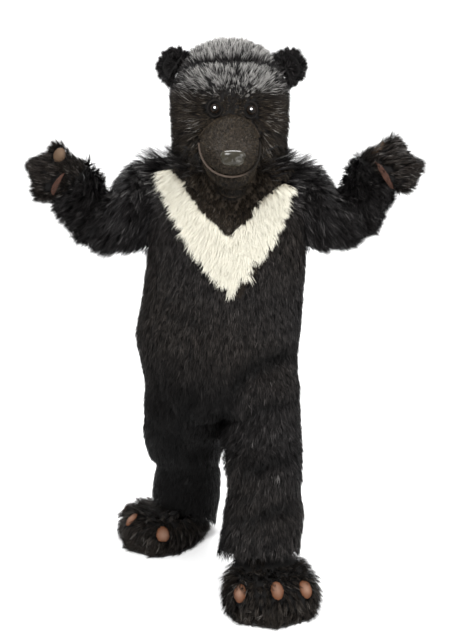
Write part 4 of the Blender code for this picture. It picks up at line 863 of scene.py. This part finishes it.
def headPile(spot, normal):
    # Out from the brow in all directions, short round the eyes, long on forehead, cheeks and back.
    # The hairs of the face end at the seam of the crown, which parts the pile. Grey tips on top and
    # in a ring over the cheeks are partly grey-tipped hair and partly painted sheen, and painted
    # shade darkens the pile far from the brow, below the top.
    x, y, z = spot.T
    far = np.linalg.norm(spot - browPoint, axis=1)
    behind, cheek = rise(y, 0.02, 0.16)[:, None], rise(-z, -0.16, 0.0)[:, None]
    nap = unit(spot - browPoint) + behind * (0.0, 0.3, -1.3) + cheek * (0.0, 0.1, -0.9)
    shortest, longest = headStyle["shortest"], headStyle["longest"]
    size = shortest + (longest - shortest) * rise(far, 0.055, 0.14)
    size = size * (1 + 0.14 * wander(spot, 0.05, 21)) * (1 + 0.25 * rise(-z, -0.10, 0.0))
    crown, face = (gapTo(spot, name) for name in ("head_crown", "head_face"))
    below = (face < crown) & (y < 0.05)
    size = np.where(below, np.minimum(size, 0.005 + 0.75 * crown), size)
    parting = 1 - rise(np.maximum(crown, face), 0.004, 0.014)
    front, top = rise(-y, -0.12, 0.02), rise(z, 0.200, 0.275)
    ring = rise(far, 0.10, 0.13) * (1 - rise(far, 0.15, 0.19)) * rise(z, -0.02, 0.10)
    middle = 1 - rise(np.abs(x - 0.018), 0.08, 0.19)
    # grey tips on top and over the cheeks: partly grey-tipped hair, partly painted sheen
    frostAndSheen = front * np.maximum(top * (0.20 + 0.46 * middle), 0.22 * ring)
    low = rise(-z, -0.11, -0.02)
    look = dressed(headStyle, nap, size, stand=0.80 - 0.15 * top * front - 0.35 * low,
                   lie=1.42 - 0.12 * top * front - 0.20 * low,
                   grey=frostAndSheen * (1 - parting) + 0.08,
                   brown=(1 - rise(z, 0.20, 0.28)) * front * 0.75 + 0.1,
                   thick=(2.0 - rise(far, 0.06, 0.13)) * (1 - 0.5 * parting),
                   # painted shade far from the brow, below the top
                   shade=1 - 0.45 * rise(far, 0.16, 0.21) * (1 - top))
    look["depth"] = look["depth"] * (1 - 0.4 * low) + 0.006 * parting
    return look


def clearOfEars(spot):
    # true where no ear stands on the spot
    return np.minimum(gapTo(spot, "ear_left"), gapTo(spot, "ear_right")) > 0.010


earStyle = {"length": 0.024, "depth": 0.016, "gather": 0.50, "stand": 0.5, "lie": 1.15,
            "grey": 0.10, "brown": 0.05}
earCentres = np.array([(0.204, -0.040, 0.337), (-0.169, -0.040, 0.340)])


def earPile(spot, normal):
    # out from the middle of each ear
    nap = unit(spot - earCentres[(spot[:, 0] < 0).astype(int)]) + (0.0, -0.1, 0.0)
    return dressed(earStyle, nap, 1.0 + 0.25 * wander(spot, 0.02, 27))


snoutStyle = {"length": 0.011, "depth": 0.0035, "spread": 0.006, "gather": 0.10, "stand": 1.0,
              "lie": 1.45, "brown": 1.0}
noseTip = (0.020, -0.345, 0.040)


def snoutPile(spot, normal):
    # short, from the nose back to the face, longer at the chin with painted shade there, and
    # greyer where it faces up, a painted highlight
    far = np.linalg.norm(spot - noseTip, axis=1)
    chin = rise(-spot[:, 2], 0.02, 0.06)
    length = (0.75 + 0.5 * rise(far, 0.06, 0.16)) * (1 + 0.6 * chin)
    # painted shade under the chin and a painted highlight where the pile faces up
    return dressed(snoutStyle, unit(spot - noseTip), length, shade=1 - 0.6 * chin,
                   grey=0.05 + 0.05 * rise(normal[:, 2], 0.2, 0.8))


bibStyle = {"length": 0.022, "depth": 0.008, "spread": 0.007, "gather": 0.35, "stand": 0.85,
            "grey": 0.15, "shade": 0.8}


def bibPile(spot, normal):
    # down and a little outwards, longer and less brown behind, on cloth sunk deeper at the top
    x, y, z = spot.T
    nap = gridPoints(0.35 * np.sign(x) * rise(np.abs(x), 0.0, 0.1), -0.1, -1.0)
    behind = rise(y, -0.02, 0.10)
    look = dressed(bibStyle, nap, 1.0 + 0.9 * behind, brown=0.70 * (1 - behind) + 0.15)
    look["depth"] = look["depth"] + 0.010 * rise(z, 0.0, 0.05)
    return look


chestStyle = {"length": 0.056, "depth": 0.011, "width": 0.0018, "spread": 0.009, "gather": 0.72,
              "stand": 0.9, "lie": 1.50}
bibEdge = (                            # x and z of the bib's lower edge, from right to left
    (-0.206, 0.030), (-0.185, 0.013), (-0.147, -0.037), (-0.089, -0.114), (-0.045, -0.160),
    (0.000, -0.206), (0.022, -0.208), (0.055, -0.170), (0.123, -0.094), (0.188, -0.017),
    (0.210, 0.020),
)
chestEdge = (                          # and of the cream V's
    (-0.230, 0.000), (-0.215, -0.064), (-0.191, -0.114), (-0.163, -0.177), (-0.129, -0.247),
    (-0.066, -0.337), (-0.029, -0.381), (0.006, -0.428), (0.046, -0.384), (0.079, -0.337),
    (0.119, -0.286), (0.153, -0.243), (0.181, -0.177), (0.202, -0.114), (0.221, -0.064),
    (0.230, -0.020),
)
lockForm = {                           # metres: breadth of a lock, how far the streaks move the
    "size": 0.006, "dark": 0.026, "cream": 0.030,   # edges of dark pile and cream locks, and how
    "overlap": 0.017,                  # far the dark pile reaches over the V
}


def lockWave(spot):
    # upright streaks that make the V's lower edge ragged, the same for dark pile and cream locks
    return wander(spot * (1, 1, 0.2), lockForm["size"], 35)


def darkOnChest(spot):
    # true where dark pile hangs over the chest V: above the bib's edge and outside the V's tip
    over, under = (np.interp(spot[:, 0], *np.array(line).T) for line in (bibEdge, chestEdge))
    over = over + 0.006 * wander(spot, 0.008, 33)
    under = under + lockForm["overlap"] - lockForm["dark"] * lockWave(spot)
    return (spot[:, 2] > over) | (spot[:, 2] < under)


def lightOnChest(spot):
    return ~darkOnChest(spot) & (spot[:, 2] < 0.002)


def darkenGround(skin, ground):
    # a second material for the cloth under the dark pile
    skin.data.materials.append(ground)
    middles = np.array([face.center[:] for face in skin.data.polygons])
    skin.data.polygons.foreach_set("material_index", (~lightOnChest(middles)).astype(np.int32))


def chestPile(spot, normal):
    # down and outwards in long locks, which end at the V's outer edge
    x, _, z = spot.T
    side = np.sign(x - 0.004) * rise(np.abs(x - 0.004), 0.0, 0.12)
    room = z - np.interp(x, *np.array(chestEdge).T) + lockForm["cream"] * lockWave(spot)
    longest = 0.9 + 0.25 * wander(spot, 0.03, 31)
    share = np.clip(0.16 + room / chestStyle["length"] * 0.9, 0.25, longest)
    return dressed(chestStyle, gridPoints(side * 0.35, 0.0, -1.0), share)


def finishPiece(piece, slot, *stoodFor, wall=None):
    # gives a piece its wall if it has one and its body, and hides the nodes it stands for
    if wall:
        made = piece.modifiers.new("wall", "SOLIDIFY")
        made.thickness = wall
        made.offset = -1.0
    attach(piece, "root")
    if stoodFor:
        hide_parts(*stoodFor)
    return piece


clothWall = 0.002


def makeSkin(surface, node, style, slot):
    # the node's rounded outer face, sunk by the pile's depth, with a thin wall
    wanted = surface["owner"] == surface["names"].index(node)
    used, faces = np.unique(surface["faces"][wanted], return_inverse=True)
    points, normals = surface["points"][used], surface["normals"][used]
    depth = np.broadcast_to(style(points, normals)["depth"], len(points))[:, None]
    skin = putMesh("cloth_" + node, points - normals * depth, faces.reshape(-1, 3), furs[slot][1])
    return finishPiece(skin, slot, node, wall=clothWall)


padForm = {                            # metres
    "dome": 0.005, "wall": 0.006, "toeSink": 0.004, "palmSink": 0.001,
    "fingerSink": {"left": 0.012, "right": 0.0055},   # the left one lies deep in the pile
}


def makePad(node, material, slot, sink):
    # the node's own outer face, domed by 1 - r^2 over its longest and middle axes, with a thick
    # edge; the attribute "middle" is 1 in its middle and falls to 0 at the edge, and places the
    # painted sheen of the suedes that have one
    surface = roundedSurface([node], fullness=0.0, thinnest=0.0, turned=0.55)
    points = surface["points"]
    middle = points.mean(axis=0)
    _, _, axes = np.linalg.svd(points - middle, full_matrices=False)
    local = np.abs((points - middle) @ axes.T)
    radius = np.hypot(*(local / local.max(axis=0))[:, :2].T)
    way = unit(surface["normals"] * 0.3 + surface["normals"].mean(axis=0))
    height = padForm["dome"] * (1 - np.minimum(radius, 1.0) ** 2) - sink
    pad = putMesh("cloth_" + node, points + way * height[:, None], surface["faces"], material)
    piece = pad
    layer = piece.data.attributes.new("middle", "FLOAT", "POINT")
    layer.data.foreach_set("value", np.clip(1.15 - 1.3 * radius, 0.0, 1.0).astype(np.float32))
    finishPiece(piece, slot, node, wall=padForm["wall"])


def ballAngles(rows, columns):
    # the angle from the front pole for each row, and the turn round it for each column
    return (np.linspace(0, math.pi, rows)[:, None],
            np.linspace(0, 2 * math.pi, columns, endpoint=False)[None])


def closedBall(x, y, z):
    # points and triangles of a grid whose first and last row are each one place
    rows, columns = np.broadcast(x, y, z).shape
    points, last = gridPoints(x, y, z), (rows - 1) * columns
    faces = gridFaces(rows, columns, wraps=True)
    corners = np.stack([faces[:, [0, 1, 2]], faces[:, [0, 2, 3]]], 1).reshape(-1, 3)
    corners = np.where(corners < columns, 0, np.where(corners >= last, last, corners))
    keep = (corners != np.roll(corners, 1, axis=1)).all(axis=1)
    used, flat = np.unique(corners[keep], return_inverse=True)
    return points[used], flat.reshape(-1, 3)


noseForm = {
    "centre": (0.020, -0.332, 0.026), "half": (0.043, 0.022, 0.0255),
    "corner": 2.7,                     # 2 is an ellipse from the front, more is squarer
    "flat": 0.8,                       # less flattens the front more
    "taper": 0.20,
    "nostril": (0.021, -0.006, 0.0085, 0.004),   # aside, up, half width and depth
    "groove": (0.0015, 0.0022),        # depth and half width
}


def makeNose(material):
    # a superellipsoid narrowed downwards, with two nostril dents and a shallow groove below
    across, turn = ballAngles(40, 64)
    power, flat = 2 / noseForm["corner"], noseForm["flat"]
    x, z = (np.sin(across) ** flat * (np.sign(wave) * np.abs(wave) ** power)
            for wave in (np.cos(turn), np.sin(turn)))
    y = -np.sign(np.cos(across)) * np.abs(np.cos(across)) ** flat
    x = x * (1 - noseForm["taper"] * (1 - z) / 2)
    x, y, z = (values * half for values, half in zip((x, y, z), noseForm["half"]))
    aside, up, wide, deep = noseForm["nostril"]
    offset = np.abs(x) - aside
    dent = deep * bell(offset, 0.0, wide) * bell(z + 0.25 * offset, up, wide * 0.7)
    deep, half = noseForm["groove"]
    groove = deep * bell(x, 0.0, half) * rise(-z, -0.002, 0.010)
    points, faces = closedBall(x, y + (dent + groove) * (y < 0), z)
    nose = putMesh("shinyNose", points + noseForm["centre"], faces, material)
    finishPiece(nose, "nose_gloss", "nose")


eyeForm = {                            # metres
    "radius": 0.0158, "brownFrom": 0.0088,
    "dot": 0.0032, "dotUp": 0.0015,    # the painted highlight's radius and how high it sits
    "lid": 0.0036,
}


def eyeFinish(name, front, dotPlace):
    # dark glass, browner away from its front, with a painted highlight: a small white dot that
    # glows
    finish = Finish(name, 0.25, 0.12)
    fromFront, fromGlint = (
        finish.node("ShaderNodeVectorMath", {"operation": "DISTANCE"},
                    {0: finish.place(), 1: tuple(point)}, "Value") for point in (front, dotPlace))
    # the painted highlight: a small white dot
    dot = ((eyeForm["dot"] - fromGlint) * 2500.0 + 0.5).clamped()
    ring = ((fromFront - eyeForm["brownFrom"]) * 260.0).clamped()
    finish.paint(dot, finish.blend(ring, *colours["glassEye"]), (0.95, 0.95, 0.95))
    # the painted highlight also glows a little, though no lamp is there
    finish.feed("Emission Color", finish.blend(dot, (0.0, 0.0, 0.0), (1.0, 1.0, 1.0)))
    finish.fix("Emission Strength", 0.6)
    return finish.material


def makeEye(side, lidMaterial):
    # a glass ball in its socket, with a rolled lid: a ring of round section, thicker above
    low, high = (np.array(corner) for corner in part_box(f"eye_{side}"))
    centre, radius = (low + high) / 2, eyeForm["radius"]
    across, turn = ballAngles(24, 36)
    ball, faces = closedBall(np.sin(across) * np.cos(turn), -np.cos(across),
                             np.sin(across) * np.sin(turn))
    # where the painted highlight sits on the ball
    upwards = unit(np.array([0.0, -1.0, eyeForm["dotUp"] / radius + 0.05]))
    glass = eyeFinish(f"glassEye_{side}", centre - (0.0, radius, 0.0), centre + upwards * radius)
    eye = putMesh(f"glassEye_{side}", centre + ball * radius, faces, glass)
    finishPiece(eye, "eye_gloss", f"eye_{side}")
    low, high = (np.array(corner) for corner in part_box(f"eyelid_{side}"))
    middle, half = (low + high) / 2, (high - low) / 2
    around = np.linspace(0, 2 * math.pi, 48, endpoint=False)[:, None]
    section = np.linspace(0, 2 * math.pi, 12, endpoint=False)[None]
    thick = eyeForm["lid"] * (0.8 + 0.35 * np.maximum(np.sin(around), 0.0))
    inwards = thick * np.cos(section) - thick
    x = (half[0] + inwards) * np.cos(around)
    y = thick * np.sin(section) + half[1] * 0.2 * np.abs(np.cos(around))
    z = (half[2] + inwards) * np.sin(around)
    faces = gridFaces(48, 12, wraps=True, closes=True)
    lid = putMesh(f"lid_{side}", gridPoints(x, y, z) + middle, faces, lidMaterial)
    finishPiece(lid, "brown_fur", f"eyelid_{side}")


zipForm = {                            # metres; a tooth's size is across, out of the tape and up
    "pitch": 0.0034, "tooth": (0.0036, 0.0022, 0.0013), "aside": 0.0012, "stand": 0.0006,
    "margin": 0.008,
}


def makeTeeth(material):
    # two rows of small blocks down the middle of the tape, one side's half a pitch from the
    # other's, so that they mesh
    corners = outerFaces("back_zip").reshape(-1, 3)
    low, high = (corner[2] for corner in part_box("back_zip"))
    heights = np.arange(high - zipForm["margin"], low + zipForm["margin"], -zipForm["pitch"] / 2)
    across, out = (np.polyval(np.polyfit(corners[:, 2], corners[:, axis], 4), heights)
                   for axis in (0, 1))
    side = np.where(np.arange(len(heights)) % 2 == 0, 1.0, -1.0)
    middle = np.stack([across + side * zipForm["aside"], out + zipForm["stand"], heights], -1)
    block = np.array([(x, y, z) for x in (-1, 1) for y in (-1, 1) for z in (-1, 1)]) / 2
    quads = np.array([(0, 1, 3, 2), (4, 6, 7, 5), (0, 4, 5, 1), (2, 3, 7, 6), (0, 2, 6, 4),
                      (1, 5, 7, 3)])
    points = (middle[:, None] + block * zipForm["tooth"]).reshape(-1, 3)
    faces = (np.arange(len(heights))[:, None, None] * 8 + quads).reshape(-1, 4)
    finishPiece(putMesh("zipTeeth", points, faces, material, smooth=False), "zip_tape")
    print("zip teeth:", len(heights))


def dressNodes():
    # solids whose own shape is right keep it and get a finish
    rubber = rubberFinish()
    kept = {"mouth_lip": lipFinish(), "back_zip": tapeFinish(), "sole_left": rubber,
            "sole_right": rubber}
    for node, material in kept.items():
        for place in nodes[node].material_slots:
            place.material = material


suitPlan = {                           # hairs of each side, how it is held, what lies on its pile
    "suit_front": (26000, "gathered", ("chest_v", "neck_skirt")),
    "suit_back": (13000, "gathered", ("neck_skirt", "back_zip")),
    "leg_front": (19000, "hung", ()),
    "leg_back": (10400, "hung", ()),
    "sleeve": (17000, "hung", ()),
}
pileForm = {                           # hairs, those in a tuft, and what keeps them off and how far
    "head": {"count": 42000, "perTuft": 10, "near": 0.003, "above": 0.02, "covers": (
        "muzzle", "jaw", "eye_left", "eye_right", "eyelid_left", "eyelid_right")},
    "snout": {"count": 13000, "perTuft": 6, "near": 0.002, "covers": ("nose", "mouth_lip")},
    "ear": {"count": 4400},
    "bib": {"count": 10000, "covers": ("jaw",), "above": 0.03},
    "chest": {"count": 18000, "near": 0.003, "above": 0.012, "covers": ("neck_skirt",),
              "stretches": 3},
    "bibHem": {"count": 60000},
    "glove": {"count": 9500},
    "foot": {"count": 14000, "near": 0.001, "above": 0.12},
}


def makeSuit():
    suitNodes = [f"{family}_{side}" for family in suitPlan for side in sides]
    suit = roundedSurface(suitNodes, parts=2)
    pressCreases(suit)
    print("suit surface:", len(suit["faces"]), "faces")
    for node in suitNodes:
        family, _, side = node.rpartition("_")
        hairs, held, covers = suitPlan[family]
        style, perTuft = (sleevePile(side), 12) if family == "sleeve" else (bodyPile, 8)
        skin = makeSkin(suit, node, style, "black_fur")
        pile = growPile("pile_" + node, suit, [node], style, "black_fur", hairs, perTuft, covers,
                        near=0.002, above=0.012)


def makeFoamPart(name, surface, names, style, slot, fill, **form):
    # fur over foam: a skin with a thin wall for each of the nodes, and one pile on them all
    for node in names:
        makeSkin(surface, node, style, slot)
    growPile(name, surface, names, style, slot, **form)


def makeHead():
    headNodes, snoutNodes = ["head_crown", "head_face", "head_back"], ["muzzle", "jaw"]
    makeFoamPart("pileHead", roundedSurface(headNodes, thinnest=0.004), headNodes, headPile,
                 "black_fur", 0.9, keep=clearOfEars, **pileForm["head"])
    makeFoamPart("pileSnout", roundedSurface(snoutNodes, reach=0.0004), snoutNodes, snoutPile,
                 "brown_fur", 0.9, **pileForm["snout"])
    ears = roundedSurface(["ear_left", "ear_right"], thinnest=0.0, turned=-2.0)
    for side in sides:
        makeFoamPart(f"pileEar_{side}", ears, [f"ear_{side}"], earPile, "black_fur", 0.7,
                     **pileForm["ear"])


def makeBibAndChest():
    neck = roundedSurface(["neck_skirt"])
    skirt = makeSkin(neck, "neck_skirt", bibPile, "brown_fur")
    bib = growPile("pileBib", neck, ["neck_skirt"], bibPile, "brown_fur", **pileForm["bib"])
    chest = roundedSurface(["chest_v"], turned=0.4, thinnest=0.006)
    mark = makeSkin(chest, "chest_v", chestPile, "cream_fur")
    darkenGround(mark, furs["brown_fur"][1])
    locks = growPile("pileChest", chest, ["chest_v"], chestPile, "cream_fur", keep=lightOnChest,
                     **pileForm["chest"])
    hem = growPile("pileBibHem", chest, ["chest_v"], bibPile, "brown_fur", keep=darkOnChest,
                   **pileForm["bibHem"])


def makePaws(side, toeSuede, palmSuede, tanSuede):
    # a glove with its pads and a foot paw with its toes; the left finger pad lies under the pile
    halves = [f"glove_palm_{side}", f"glove_back_{side}"]
    glove, style = roundedSurface(halves), glovePile(side)
    palm, back = (makeSkin(glove, node, style, "black_fur") for node in halves)
    pile = growPile(f"pileGlove_{side}", glove, halves, style, "black_fur", **pileForm["glove"],
                    covers=(f"palm_pad_{side}", "finger_pad_right", f"sleeve_{side}"))
    "cloth_sleeve_" + side
    "cloth_sleeve_" + side
    foot, toes = f"foot_{side}", [f"toe_oval_{side}_{number}" for number in (1, 2, 3)]
    makeFoamPart(f"pileFoot_{side}", roundedSurface([foot], thinnest=0.006), [foot],
                 footPile(side), "black_fur", 0.8, **pileForm["foot"],
                 covers=toes + [f"leg_front_{side}", f"leg_back_{side}"])
    for toe in toes:
        makePad(toe, toeSuede, "toe_suede", padForm["toeSink"])
    makePad(f"palm_pad_{side}", palmSuede, "pad_suede", padForm["palmSink"])
    makePad(f"finger_pad_{side}", tanSuede, "toe_suede", padForm["fingerSink"][side])


def main():
    makeCamera()
    makeLights()
    makeFloor()
    makeSuit()
    makeHead()
    makeBibAndChest()
    padSuedes = [suedeFinish(name) for name in ("toeSuede", "palmSuede", "tanSuede")]
    lidSuede = suedeFinish("lidSuede")
    for side in sides:
        makePaws(side, *padSuedes)
        makeEye(side, lidSuede)
    makeNose(noseFinish())
    makeTeeth(teethFinish())
    dressNodes()
    added = sum(len(piece.data.polygons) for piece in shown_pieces() if "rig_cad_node" not in piece)
    print("triangles and quads added:", added)


main()
